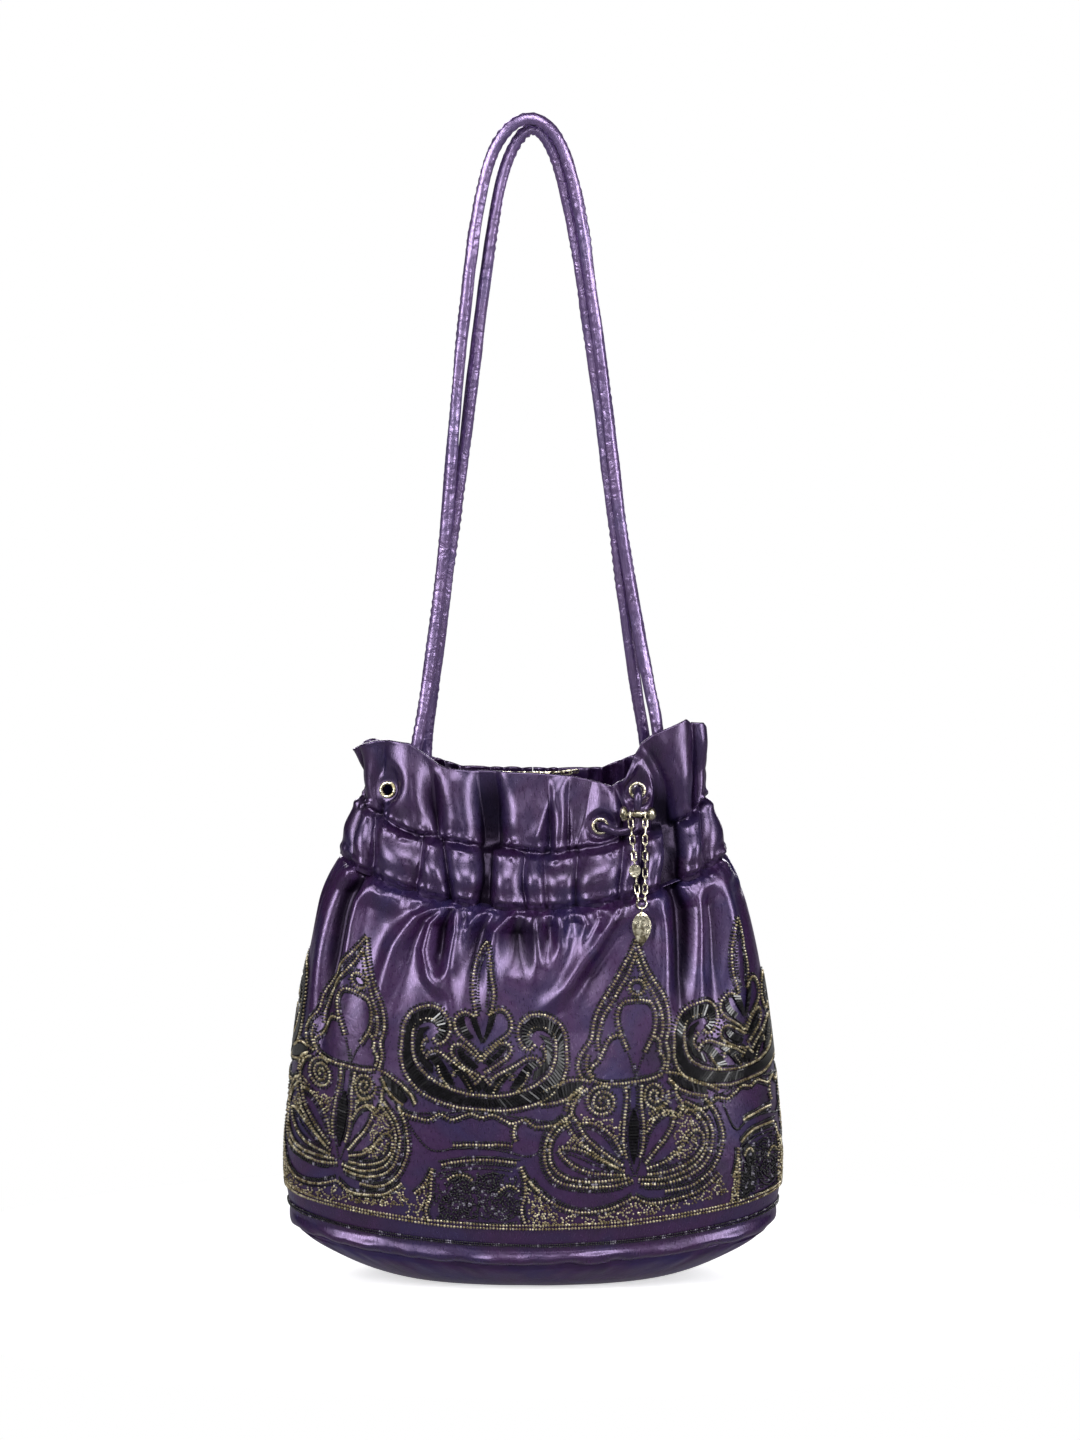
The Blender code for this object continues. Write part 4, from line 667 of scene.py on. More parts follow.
def linear(text):
    """sRGB hex colour as the linear RGBA that shaders take."""
    channels = [int(text[place:place + 2], 16) / 255 for place in (1, 3, 5)]
    return (*[c / 12.92 if c <= 0.04045 else ((c + 0.055) / 1.055) ** 2.4 for c in channels], 1.0)


def add_node(tree, kind, inputs=None, **settings):
    """Add a shader node, set its properties, and fill or link its inputs."""
    node = tree.nodes.new(kind)
    for name, value in settings.items():
        setattr(node, name, value)
    for socket, value in (inputs or {}).items():
        if isinstance(value, bpy.types.NodeSocket):
            tree.links.new(value, node.inputs[socket])
        else:
            node.inputs[socket].default_value = value
    return node


def new_material(name):
    """Empty material with an output, ready for its nodes."""
    material = bpy.data.materials.new(name)
    material.use_nodes = True
    material.node_tree.nodes.clear()
    return material, material.node_tree


def finish_material(tree, shader):
    add_node(tree, "ShaderNodeOutputMaterial", {"Surface": shader.outputs[0]})


def color_ramp(tree, factor, stops):
    """Colour ramp through (position, colour) stops."""
    node = add_node(tree, "ShaderNodeValToRGB", {"Fac": factor})
    elements = node.color_ramp.elements
    while len(elements) < len(stops):
        elements.new(0.5)
    for element, (position, color) in zip(elements, stops):
        element.position = position
        element.color = color
    return node


def satin_material(name, deep, main, cool, warm, rough, crinkle, ior, stretch):
    """Charmeuse satin: long glossy floats give streaked, lilac-edged highlights over a deep dye."""
    material, tree = new_material(name)
    cloth = add_node(tree, "ShaderNodeUVMap", uv_map="Cloth").outputs["UV"]
    # Dye takes unevenly: patches of 20 to 40 mm, some cooler
    patches = add_node(tree, "ShaderNodeTexNoise", {"Vector": cloth, "Scale": 32, "Detail": 3, "Distortion": 0.6})
    dye = color_ramp(tree, patches.outputs["Fac"], (
        (0.30, linear(deep)), (0.44, linear(warm)), (0.54, linear(main)), (0.68, linear(cool)),
    ))
    # Float yarns: streaks about 0.5 mm wide and 4 mm long, drawn coarser than real so that they show
    along = add_node(tree, "ShaderNodeMapping", {"Vector": cloth, "Scale": (1500, 420, 1)})
    yarn = add_node(tree, "ShaderNodeTexNoise", {"Vector": along.outputs[0], "Scale": 1.0, "Detail": 2})
    across = add_node(tree, "ShaderNodeMapping", {
        "Vector": cloth, "Rotation": (0, 0, 0.7), "Scale": (1300, 420, 1),
    })
    grain = add_node(tree, "ShaderNodeTexNoise", {"Vector": across.outputs[0], "Scale": 1.0, "Detail": 2})
    # Crushed places 5 to 12 mm across
    soft = add_node(tree, "ShaderNodeTexNoise", {
        "Vector": cloth, "Scale": 120, "Detail": 3, "Roughness": 0.55, "Distortion": 1.2,
    })
    shade = add_node(tree, "ShaderNodeMapRange", {
        "Value": yarn.outputs["Fac"], "From Min": 0.3, "From Max": 0.7, "To Min": 0.95, "To Max": 1.05,
    })
    dyed = add_node(tree, "ShaderNodeVectorMath", {0: dye.outputs["Color"], "Scale": shade.outputs[0]},
                    operation="SCALE")
    gloss = add_node(tree, "ShaderNodeMapRange", {
        "Value": grain.outputs["Fac"], "From Min": 0.3, "From Max": 0.7,
        "To Min": rough - 0.05, "To Max": rough + 0.07,
    })
    height = add_node(tree, "ShaderNodeMath", {0: yarn.outputs["Fac"], 1: grain.outputs["Fac"]}, operation="ADD")
    fine = add_node(tree, "ShaderNodeBump", {"Height": height.outputs[0], "Strength": 0.10, "Distance": 0.00025})
    crushed = add_node(tree, "ShaderNodeBump", {
        "Height": soft.outputs["Fac"], "Strength": crinkle, "Distance": 0.0030, "Normal": fine.outputs[0],
    })
    # Painted shade: the dye and the strength of the mirror reflection are darkened by the Fold attribute, deepest at
    # the bottom of a fold or of the seams, where little light reaches
    fold = add_node(tree, "ShaderNodeAttribute", attribute_name="Fold")
    fold_shade_factor = add_node(tree, "ShaderNodeMapRange", {
        "Value": fold.outputs["Fac"], "From Min": -0.0056, "From Max": -0.0006, "To Min": 0.22, "To Max": 1.0,
    }, interpolation_type="SMOOTHSTEP")
    shaded = add_node(tree, "ShaderNodeVectorMath", {0: dyed.outputs[0], "Scale": fold_shade_factor.outputs[0]},
                      operation="SCALE")
    fold_shaded_specular = add_node(tree, "ShaderNodeMath", {0: fold_shade_factor.outputs[0], 1: 0.5}, operation="MULTIPLY")
    shader = add_node(tree, "ShaderNodeBsdfPrincipled", {
        "Base Color": shaded.outputs[0], "Roughness": gloss.outputs[0], "Normal": crushed.outputs[0],
        "Specular IOR Level": fold_shaded_specular.outputs[0], "Anisotropic": stretch,
        "Tangent": add_node(tree, "ShaderNodeTangent", direction_type="UV_MAP", uv_map="Cloth").outputs[0],
        "Metallic": 0.10, "IOR": ior, "Specular Tint": linear("#D6BEEE"),
        "Sheen Weight": 0.06, "Sheen Roughness": 0.35, "Sheen Tint": linear("#9A7FD0"),
    })
    finish_material(tree, shader)
    return material


def lining_material(settings):
    """Plain-woven lining: matt, dark, with a fine weave."""
    material, tree = new_material("lining_plain_weave")
    cloth = add_node(tree, "ShaderNodeUVMap", uv_map="Cloth").outputs["UV"]
    scaled = add_node(tree, "ShaderNodeMapping", {"Vector": cloth, "Scale": (1200, 1200, 1)})
    weave = add_node(tree, "ShaderNodeTexChecker", {"Vector": scaled.outputs[0], "Scale": 1.0})
    cloud = add_node(tree, "ShaderNodeTexNoise", {"Vector": cloth, "Scale": 60, "Detail": 3})
    dye = color_ramp(tree, cloud.outputs["Fac"], ((0.35, linear("#170C22")), (0.65, linear("#2A1740"))))
    bump = add_node(tree, "ShaderNodeBump", {"Height": weave.outputs["Fac"], "Strength": 0.25, "Distance": 0.0002})
    shader = add_node(tree, "ShaderNodeBsdfPrincipled", {
        "Base Color": dye.outputs["Color"], "Roughness": 0.62, "Normal": bump.outputs[0],
        "Sheen Weight": 0.2, "Sheen Roughness": 0.4,
    })
    finish_material(tree, shader)
    return material


def brass_material(name, bright, worn, rough):
    """Cast and plated pale brass: bright on the high places, tarnished in the hollows."""
    material, tree = new_material(name)
    place = add_node(tree, "ShaderNodeTexCoord").outputs["Object"]
    pits = add_node(tree, "ShaderNodeTexNoise", {"Vector": place, "Scale": 900, "Detail": 4})
    tarnish = add_node(tree, "ShaderNodeTexNoise", {"Vector": place, "Scale": 320, "Detail": 3})
    tone = color_ramp(tree, tarnish.outputs["Fac"], ((0.38, linear(worn)), (0.56, linear(bright))))
    gloss = add_node(tree, "ShaderNodeMapRange", {
        "Value": tarnish.outputs["Fac"], "From Min": 0.35, "From Max": 0.6,
        "To Min": rough + 0.18, "To Max": rough,
    })
    fine = add_node(tree, "ShaderNodeBump", {"Height": pits.outputs["Fac"], "Strength": 0.35, "Distance": 0.0002})
    bump = add_node(tree, "ShaderNodeBump", {
        "Height": tarnish.outputs["Fac"], "Strength": 0.8, "Distance": 0.0008, "Normal": fine.outputs[0],
    })
    shader = add_node(tree, "ShaderNodeBsdfPrincipled", {
        "Base Color": tone.outputs["Color"], "Metallic": 1.0, "Roughness": gloss.outputs[0],
        "Normal": bump.outputs[0],
    })
    finish_material(tree, shader)
    return material


def station(values, level):
    """Read station values at fractional levels, through a smooth curve."""
    values = np.asarray(values, float)
    index = np.clip(level.astype(int), 0, len(values) - 2)
    share = level - index
    here, after = values[index], values[index + 1]
    before = values[np.maximum(index - 1, 0)]
    beyond = values[np.minimum(index + 2, len(values) - 1)]
    slope_in, slope_out = (after - before) / 2, (beyond - here) / 2
    square, cube = share ** 2, share ** 3
    return (
        (2 * cube - 3 * square + 1) * here + (cube - 2 * square + share) * slope_in
        + (3 * square - 2 * cube) * after + (cube - square) * slope_out
    )


def oval(angle):
    """Radius of the unit plan outline."""
    side = np.abs(np.cos(angle)) ** OVAL_POWER + np.abs(np.sin(angle)) ** OVAL_POWER
    return side ** (-1 / OVAL_POWER)


def measured_outline():
    """Places round the bag, in metres from the middle of the front, and the angles they stand at."""
    angles = np.linspace(-1.5 * np.pi, 0.5 * np.pi, 4001)
    x = MEASURE_HALF_WIDTH * oval(angles) * np.cos(angles)
    y = MEASURE_HALF_DEPTH * oval(angles) * np.sin(angles)
    run = np.concatenate(([0], np.cumsum(np.hypot(np.diff(x), np.diff(y)))))
    return run - run[-1] / 2, angles


PLACES, ANGLES = measured_outline()
ROUND = PLACES[-1] - PLACES[0]


def front_place(x, level):
    """Place on the front at which the outline of this level has the given x."""
    angles = np.linspace(-np.pi, 0, 721)
    width = float(station(HALF_WIDTHS, np.array(float(level))))
    angle = np.interp(x, width * oval(angles) * np.cos(angles), angles)
    return float(np.interp(angle, ANGLES, PLACES))


def back_place(x, level):
    """Place on the back at the given x, on the right half of the scale or the left."""
    return math.copysign(ROUND / 2 - abs(front_place(abs(x), level)), x)


def loft(place, level, outward, lift=0.0):
    """Points of the cloth before its folds, moved outward and up."""
    angle = np.interp(place, PLACES, ANGLES)
    width, depth = station(HALF_WIDTHS, level), station(HALF_DEPTHS, level)
    cosine, sine, radius = np.cos(angle), np.sin(angle), oval(angle)
    rise = np.where(cosine > 0, station(RIGHT_RISES, level), station(LEFT_RISES, level))
    across, ahead = depth * cosine, width * sine
    size = np.hypot(across, ahead)
    return np.stack((
        width * radius * cosine + across / size * outward,
        depth * radius * sine + ahead / size * outward,
        station(HEIGHTS, level) + rise * cosine ** 2 + lift,
    ), axis=-1)


def fold_sum(folds, place, level):
    """Height of all folds; each is a list of (level, place, width, height) along its line."""
    total = np.zeros_like(place)
    for fold in folds:
        levels, places, widths, heights = (np.array(column) for column in zip(*fold))
        order = np.argsort(levels)
        levels = levels[order]
        height = np.interp(level, levels, heights[order], left=0, right=0)
        width = np.interp(level, levels, widths[order])
        away = place - np.interp(level, levels, places[order])
        away -= ROUND * np.round(away / ROUND)
        total += height * np.exp(-((away / width) ** 2))
    return total


def seam_pinch(level, seam, width):
    return np.exp(-((level - seam) / width) ** 2)


def rim_lift(place, level):
    """How much the rim's own outline stands above or below the loft."""
    top = np.full_like(level, float(RIM))
    plain = loft(place, top, 0.0)
    front = np.interp(plain[..., 0], *zip(*FRONT_RIM))
    back = np.interp(plain[..., 0], *zip(*BACK_RIM))
    wanted = np.where(plain[..., 1] < 0, front, back)
    share = np.clip((level - UPPER_GATHER) / (RIM - UPPER_GATHER), 0, 1)
    return (wanted - plain[..., 2]) * share ** 1.3


def eyelet_seats():
    """Centre and outward axis of each eyelet, read from its node."""
    seats = []
    for name in EYELET_NODES:
        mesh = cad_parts[name].data
        points = np.empty(len(mesh.vertices) * 3)
        mesh.vertices.foreach_get("co", points)
        points = points.reshape(-1, 3)
        centre = (points.max(axis=0) + points.min(axis=0)) / 2
        centre = points.mean(axis=0) if np.linalg.norm(points.mean(axis=0) - centre) < 0.001 else centre
        axis = np.linalg.svd(points - centre, full_matrices=False)[2][2]
        seats.append((centre, axis * math.copysign(1, axis[1] * centre[1])))
    return seats


def press_seats(points, inner):
    """Lay the cloth flat under each eyelet's flanges, the facing behind it too."""
    for centre, axis in eyelet_seats():
        away = points - centre
        along = away @ axis
        beside = np.linalg.norm(away - along[:, None] * axis, axis=1)
        share = np.clip((EYELET_FLAT_RADIUS + 0.001 - beside) / 0.0038, 0, 1)
        share = share * share * (3 - 2 * share) * (np.abs(along) < 0.012)
        seat = np.where(inner, -EYELET_SEAT_HALF, EYELET_SEAT_HALF)
        points = points - axis * ((along - seat) * share)[:, None]
    return points


def eyelet_spots():
    """Places and levels of all eyelets."""
    spots = [(front_place(x, level), level) for x, level in FRONT_EYELETS]
    return spots + [(back_place(x, level), level) for x, level in BACK_EYELETS]


def pressed_flat(place, level):
    """1 where an eyelet presses the cloth flat, falling to 0 round it."""
    flat = np.zeros_like(place)
    here = loft(place, level, 0.0)
    for spot, spot_level in eyelet_spots():
        centre = loft(np.array([spot]), np.array([spot_level]), 0.0)[0]
        away = np.linalg.norm(here - centre, axis=-1)
        flat = np.maximum(flat, np.exp(-(np.maximum(away - 0.0042, 0) / (EYELET_FLAT_RADIUS / 2)) ** 2))
    return flat


def front_fold(spots):
    """Fold on the front through (x, level, width, height) spots."""
    return [(level, front_place(x, level), width, height) for x, level, width, height in spots]


def random_folds(seed, count, span, levels, widths, heights, drift):
    """Seeded folds spread over a span of places, each fading along its length."""
    random = np.random.RandomState(seed)
    folds = []
    for number in range(count):
        place = span[0] + (span[1] - span[0]) * (number + random.uniform(0.1, 0.9)) / count
        start, end = levels[0], levels[0] + (levels[1] - levels[0]) * random.uniform(0.35, 1.0)
        width = random.uniform(*widths)
        height = random.uniform(*heights) * (0.9 if number % 2 else -0.9)
        lean = random.uniform(-drift, drift)
        middle = (start + end) / 2
        folds.append([
            (start, place, width * 0.7, height), (middle, place + lean * 0.5, width, height * 0.8),
            (end, place + lean, width * 1.5, 0),
        ])
    return folds


# Gathers of the frill and of the band on the front and sides. Each row is a valley and the lobe to its
# right: place of the valley, its depth and the lobe's height, at three levels from the top down
FRILL_GATHERS = (
    ((-0.1760, -0.1760, -0.1760), (0.0010, 0.0030, 0.0020), (0.0015, -0.0040, -0.0020)),
    ((-0.1360, -0.1340, -0.1350), (0.0000, 0.0055, 0.0030), (0.0025, 0.0010, 0.0015)),
    ((-0.1069, -0.1109, -0.1145), (-0.0010, 0.0035, 0.0030), (0.0035, 0.0065, 0.0045)),
    ((-0.0701, -0.0706, -0.0680), (-0.0010, 0.0035, 0.0030), (0.0035, 0.0055, 0.0040)),
    ((-0.0361, -0.0353, -0.0348), (0.0040, 0.0065, 0.0055), (-0.0030, -0.0070, -0.0065)),
    ((-0.0278, -0.0247, -0.0241), (0.0040, 0.0068, 0.0060), (0.0030, 0.0050, 0.0042)),
    ((0.0104, 0.0120, 0.0121), (-0.0015, 0.0010, 0.0025), (0.0022, 0.0046, 0.0040)),
    ((0.0250, 0.0247, 0.0249), (-0.0010, 0.0010, 0.0015), (0.0000, 0.0002, 0.0005)),
    ((0.0403, 0.0368, 0.0305), (0.0000, 0.0002, 0.0015), (0.0025, 0.0038, 0.0032)),
    ((0.0579, 0.0640, 0.0636), (0.0040, 0.0030, 0.0025), (0.0055, 0.0070, 0.0055)),
    ((0.0715, 0.0870, 0.0876), (0.0005, 0.0020, 0.0060), (0.0020, -0.0010, -0.0065)),
    ((0.0759, 0.0948, 0.1012), (-0.0010, 0.0015, 0.0055), (0.0055, 0.0065, 0.0040)),
    ((0.1159, 0.1207, 0.1206), (0.0000, 0.0015, 0.0020), (0.0025, 0.0030, 0.0030)),
    ((0.1380, 0.1380, 0.1360), (0.0020, 0.0020, 0.0020), (-0.0030, -0.0010, 0.0005)),
    ((0.1720, 0.1720, 0.1720), (0.0020, 0.0020, 0.0020), (0.0030, 0.0040, 0.0030)),
)
BAND_GATHERS = (
    ((-0.1760, -0.1760, -0.1760), (0.0009, 0.0010, 0.0009), (0.0013, 0.0015, 0.0013)),
    ((-0.1340, -0.1310, -0.1290), (0.0027, 0.0030, 0.0027), (0.0030, 0.0035, 0.0030)),
    ((-0.1196, -0.1114, -0.1088), (0.0018, 0.0020, 0.0018), (0.0038, 0.0045, 0.0038)),
    ((-0.0784, -0.0753, -0.0769), (0.0005, 0.0005, 0.0005), (0.0038, 0.0045, 0.0038)),
    ((-0.0644, -0.0574, -0.0536), (0.0027, 0.0030, 0.0027), (0.0041, 0.0048, 0.0041)),
    ((-0.0355, -0.0326, -0.0348), (0.0045, 0.0050, 0.0045), (-0.0043, -0.0050, -0.0043)),
    ((-0.0291, -0.0282, -0.0283), (0.0040, 0.0045, 0.0040), (0.0029, 0.0034, 0.0029)),
    ((-0.0051, -0.0066, -0.0041), (0.0014, 0.0015, 0.0014), (0.0031, 0.0036, 0.0031)),
    ((0.0078, 0.0082, 0.0090), (0.0002, 0.0002, 0.0002), (0.0022, 0.0026, 0.0022)),
    ((0.0320, 0.0286, 0.0277), (0.0020, 0.0022, 0.0020), (0.0037, 0.0044, 0.0037)),
    ((0.0651, 0.0588, 0.0556), (0.0009, 0.0010, 0.0009), (0.0029, 0.0034, 0.0029)),
    ((0.0777, 0.0718, 0.0681), (0.0023, 0.0025, 0.0023), (0.0046, 0.0054, 0.0046)),
    ((0.0954, 0.0902, 0.0851), (0.0054, 0.0060, 0.0054), (-0.0055, -0.0065, -0.0055)),
    ((0.1063, 0.1008, 0.0972), (0.0049, 0.0055, 0.0049), (0.0047, 0.0055, 0.0047)),
    ((0.1292, 0.1187, 0.1174), (0.0018, 0.0020, 0.0018), (0.0030, 0.0035, 0.0030)),
    ((0.1500, 0.1500, 0.1500), (0.0009, 0.0010, 0.0009), (0.0017, 0.0020, 0.0017)),
    ((0.1720, 0.1720, 0.1720), (0.0018, 0.0020, 0.0018), (0.0034, 0.0040, 0.0034)),
)
CENTRE_RIDGE = (
    (0.0170, 8, 0.0060, 0.0004), (0.0065, 7.2, 0.0060, 0.0020), (0.0000, 6.5, 0.0045, 0.0016), (-0.0010, 6.1, 0.004, 0.0),
)

# Folds of the body below the lower gather, on the front
BODY_FOLDS = (
    ((-0.0910, 4, 0.0060, 0.0029), (-0.1010, 3.4, 0.0060, 0.0047), (-0.1075, 2.6, 0.0065, 0.0057),
     (-0.1120, 2, 0.0080, 0.0029), (-0.1130, 1.3, 0.0100, 0.0000)),
    ((-0.0835, 4, 0.0062, -0.0047), (-0.0925, 3.4, 0.0060, -0.0095), (-0.0990, 2.6, 0.0066, -0.0076),
     (-0.1040, 2, 0.0060, -0.0029), (-0.1060, 1.5, 0.0080, 0.0000)),
    ((-0.0780, 4, 0.0055, 0.0029), (-0.0870, 3.4, 0.0049, 0.0047), (-0.0935, 2.6, 0.0049, 0.0043),
     (-0.0995, 2, 0.0060, 0.0019), (-0.1030, 1.6, 0.0060, 0.0000)),
    ((-0.0730, 4, 0.0060, 0.0014), (-0.0740, 3.75, 0.0070, 0.0034), (-0.0760, 3.4, 0.0070, 0.0000)),
    ((-0.0700, 3.6, 0.0060, 0.0000), (-0.0740, 3.2, 0.0080, -0.0019), (-0.0790, 2.6, 0.0070, 0.0000)),
    ((-0.0400, 4, 0.0034, 0.0029), (-0.0555, 3.55, 0.0047, 0.0047), (-0.0680, 2.95, 0.0060, 0.0052),
     (-0.0765, 2.3, 0.0060, 0.0029), (-0.0770, 1.8, 0.0080, 0.0000)),
    ((-0.0440, 4, 0.0036, -0.0011), (-0.0540, 3.4, 0.0047, -0.0029), (-0.0620, 2.8, 0.0062, -0.0019),
     (-0.0670, 2.3, 0.0060, 0.0000)),
    ((-0.0395, 3.95, 0.0025, 0.0019), (-0.0500, 3.45, 0.0034, 0.0047), (-0.0535, 3.0, 0.0038, 0.0047),
     (-0.0500, 2.65, 0.0049, 0.0038), (-0.0455, 2.5, 0.0049, 0.0000)),
    ((-0.0400, 3.85, 0.0028, -0.0014), (-0.0450, 3.4, 0.0038, -0.0057), (-0.0465, 2.95, 0.0038, -0.0043),
     (-0.0470, 2.7, 0.0041, 0.0000)),
    ((-0.0372, 4, 0.0024, 0.0021), (-0.0378, 3.4, 0.0028, 0.0047), (-0.0415, 2.85, 0.0036, 0.0043),
     (-0.0455, 2.6, 0.0049, 0.0024), (-0.0470, 2.4, 0.0049, 0.0000)),
    ((-0.0340, 3.9, 0.0025, -0.0014), (-0.0335, 3.5, 0.0028, -0.0034), (-0.0375, 2.9, 0.0036, -0.0029),
     (-0.0400, 2.3, 0.0049, 0.0000)),
    ((-0.0240, 4, 0.0028, 0.0019), (-0.0330, 3.45, 0.0034, 0.0043), (-0.0385, 2.85, 0.0041, 0.0043),
     (-0.0410, 2.3, 0.0055, 0.0024), (-0.0440, 1.9, 0.0060, 0.0000)),
    ((-0.0200, 3.95, 0.0034, -0.0014), (-0.0250, 3.5, 0.0044, -0.0043), (-0.0310, 2.8, 0.0055, -0.0029),
     (-0.0330, 2.3, 0.0062, 0.0000)),
    ((-0.0090, 4, 0.0025, 0.0019), (-0.0180, 3.5, 0.0038, 0.0043), (-0.0205, 3.0, 0.0055, 0.0034),
     (-0.0205, 2.5, 0.0060, 0.0011), (-0.0200, 2.2, 0.0070, 0.0000)),
    ((-0.0060, 3.95, 0.0028, -0.0013), (-0.0080, 3.45, 0.0062, -0.0057), (-0.0080, 3.05, 0.0058, -0.0029),
     (-0.0080, 2.8, 0.0060, 0.0000)),
    ((0.0005, 4, 0.0019, 0.0021), (0.0012, 3.55, 0.0028, 0.0038), (0.0025, 3.0, 0.0047, 0.0034),
     (0.0000, 2.6, 0.0060, 0.0000)),
    ((0.0060, 4, 0.0022, -0.0011), (0.0080, 3.6, 0.0038, -0.0044), (0.0085, 3.2, 0.0044, -0.0019),
     (0.0085, 2.9, 0.0049, 0.0000)),
    ((0.0125, 4, 0.0019, 0.0021), (0.0135, 3.6, 0.0025, 0.0038), (0.0130, 3.2, 0.0041, 0.0032),
     (0.0090, 2.8, 0.0060, 0.0019), (0.0060, 2.4, 0.0060, 0.0000)),
    ((0.0180, 3.95, 0.0022, -0.0011), (0.0195, 3.65, 0.0034, -0.0034), (0.0195, 3.35, 0.0034, 0.0000)),
    ((0.0235, 4, 0.0019, 0.0019), (0.0262, 3.6, 0.0025, 0.0032), (0.0240, 3.2, 0.0047, 0.0029),
     (0.0190, 2.8, 0.0060, 0.0014), (0.0150, 2.4, 0.0060, 0.0000)),
    ((0.0310, 3.95, 0.0022, -0.0011), (0.0330, 3.7, 0.0036, -0.0034), (0.0330, 3.4, 0.0036, 0.0000)),
    ((0.0430, 4, 0.0036, 0.0019), (0.0390, 3.6, 0.0047, 0.0043), (0.0290, 3.1, 0.0060, 0.0052),
     (0.0160, 2.65, 0.0060, 0.0038), (0.0040, 2.35, 0.0070, 0.0000)),
    ((0.0400, 3.3, 0.0060, 0.0000), (0.0300, 2.75, 0.0070, -0.0025), (0.0200, 2.2, 0.0080, 0.0000)),
    ((0.0600, 4, 0.0047, 0.0029), (0.0640, 3.4, 0.0049, 0.0034), (0.0660, 2.6, 0.0062, 0.0025),
     (0.0660, 2, 0.0060, 0.0000)),
    ((0.0700, 4, 0.0050, -0.0090), (0.0745, 3.4, 0.0058, -0.0095), (0.0745, 2.6, 0.0056, -0.0060),
     (0.0750, 2, 0.0056, 0.0)),
    ((0.0800, 3.8, 0.0050, 0.0), (0.0815, 3.3, 0.0050, 0.0030), (0.0820, 2.6, 0.0052, 0.0026),
     (0.0830, 2, 0.0056, 0.0)),
    ((0.0870, 3.7, 0.0050, 0.0), (0.0885, 3.3, 0.0048, -0.0036), (0.0905, 2.6, 0.0052, -0.0030),
     (0.0920, 2, 0.0050, 0.0)),
    ((0.0915, 4, 0.0060, 0.0030), (0.0955, 3.5, 0.0056, 0.0046), (0.1000, 2.8, 0.0060, 0.0040),
     (0.1040, 2.0, 0.0064, 0.0)),
)


def gathers(rows, levels, seed, count):
    """Valleys and lobes right round: those of the front as drawn, the rest seeded."""
    random = np.random.RandomState(seed)
    places, depths, tops = ([list(row[part]) for row in rows] for part in range(3))
    start, end = places[-1][1], ROUND + places[0][1]
    step = (end - start) / (count + 1)
    for number in range(1, count + 1):
        spot = start + step * (number + random.uniform(-0.32, 0.32))
        lean = random.uniform(-0.3, 0.3) * step
        depth, top = random.uniform(0.0010, 0.0040), random.uniform(0.0020, 0.0050)
        places.append([spot + lean, spot, spot - lean])
        depths.append([depth * 0.6, depth, depth * 0.8])
        tops.append([top * random.uniform(0.5, 1), top, top * 0.8])
    return levels, np.array(places), np.array(depths), np.array(tops)


def lobed(table, place, level):
    """Relief and sideways shift of gathers: a lobe swells between its valleys and rolls over them."""
    levels, places, depths, tops = table
    index = np.clip(levels[0] - level, 0, len(levels) - 1.0)
    relief, shift = np.zeros_like(place), np.zeros_like(place)
    for number in range(len(places)):
        after = (number + 1) % len(places)
        left, right = station(places[number], index), station(places[after], index)
        width = right - left + (ROUND if after == 0 else 0)
        share = ((place - left) % ROUND) / width
        near, far, top = (station(row, index) for row in (depths[number], depths[after], tops[number]))
        valley = near + (far - near) * share
        swell = 1 - np.abs(2 * share - 1) ** 2.05
        here = share < 1
        relief = np.where(here, -valley + (top + valley) * swell, relief)
        roll = 0.05 * np.clip((top + valley) / 0.006, 0, 1)
        shift = np.where(here, -roll * width * np.sin(2 * np.pi * share), shift)
    return relief, shift


def seam_puckers(place, seed, spacing, height):
    """Small loops of cloth caught by the gathering stitches, uneven in size."""
    offset = 11.0 * seed
    return np.array([
        height * abs(math.sin(math.pi * spot / spacing + 2.2 * noise.noise((spot * 60, offset, 0))))
        * (0.55 + noise.noise((spot * 90, offset + 3, 1)))
        for spot in place.ravel()
    ]).reshape(place.shape)


def soft_noise(place, level, scale, seed):
    """Smooth noise over the cloth, -1 to 1, the same at both ends of its scale."""
    angle = 2 * np.pi * place / ROUND
    radius = ROUND / (2 * np.pi)
    spots = np.stack((np.cos(angle) * radius, np.sin(angle) * radius, level * 0.03), axis=-1) * scale
    spots[..., 2] += 7.0 * seed
    flat = spots.reshape(-1, 3)
    return np.array([noise.noise(spot) for spot in flat.tolist()]).reshape(place.shape)


def body_relief(place, level, settings):
    """How far the body's satin stands out from the loft."""
    near_front = np.exp(-(np.maximum(np.abs(place) - 0.118, 0) / 0.012) ** 2)
    front = fold_sum([front_fold(fold) for fold in BODY_FOLDS], place, level)
    around = fold_sum(random_folds(11, 34, (0.118, ROUND - 0.118), (4, 1.9), (0.0035, 0.0075),
                                   (0.0022, 0.0060), 0.016), place % ROUND, level)
    small = fold_sum(random_folds(12, 100, (0, ROUND), (4, 3.5), (0.0010, 0.0018), (0.0006, 0.0014), 0.004),
                     place % ROUND, level)
    relief = front * near_front + around * (1 - near_front) + small
    # Cloth bulges out just under the gather, and swells between the base seam and the beaded cord
    relief += 0.0030 * seam_pinch(level, 3.72, 0.30) - 0.0030 * seam_pinch(level, 4.0, 0.10)
    relief += 0.0036 * seam_pinch(level, 0.20, 0.15) - 0.0040 * seam_pinch(level, -0.03, 0.07)
    hem = fold_sum(random_folds(13, 30, (0, ROUND), (0, 0.5), (0.005, 0.011), (0.0012, 0.0030), 0.014),
                   place % ROUND, level)
    relief += hem
    relief += 0.0010 * soft_noise(place, level, 26, 1) * (0.4 + seam_pinch(level, 3.0, 0.9))
    relief += seam_puckers(place, 2, 0.0062, 0.0016) * seam_pinch(level, 3.90, 0.09)
    relief += seam_puckers(place, 3, 0.0190, 0.0020) * seam_pinch(level, 0.08, 0.12)
    # The sides hang taut, so the folds there stay inside the outline
    side = np.exp(-((np.abs(place) - ROUND / 4) / 0.034) ** 2)
    most = 0.0075 - 0.0062 * side
    relief = -above(-relief, -most, 0.002)
    return above(relief * settings.fold_depth, -0.0068, 0.0008)


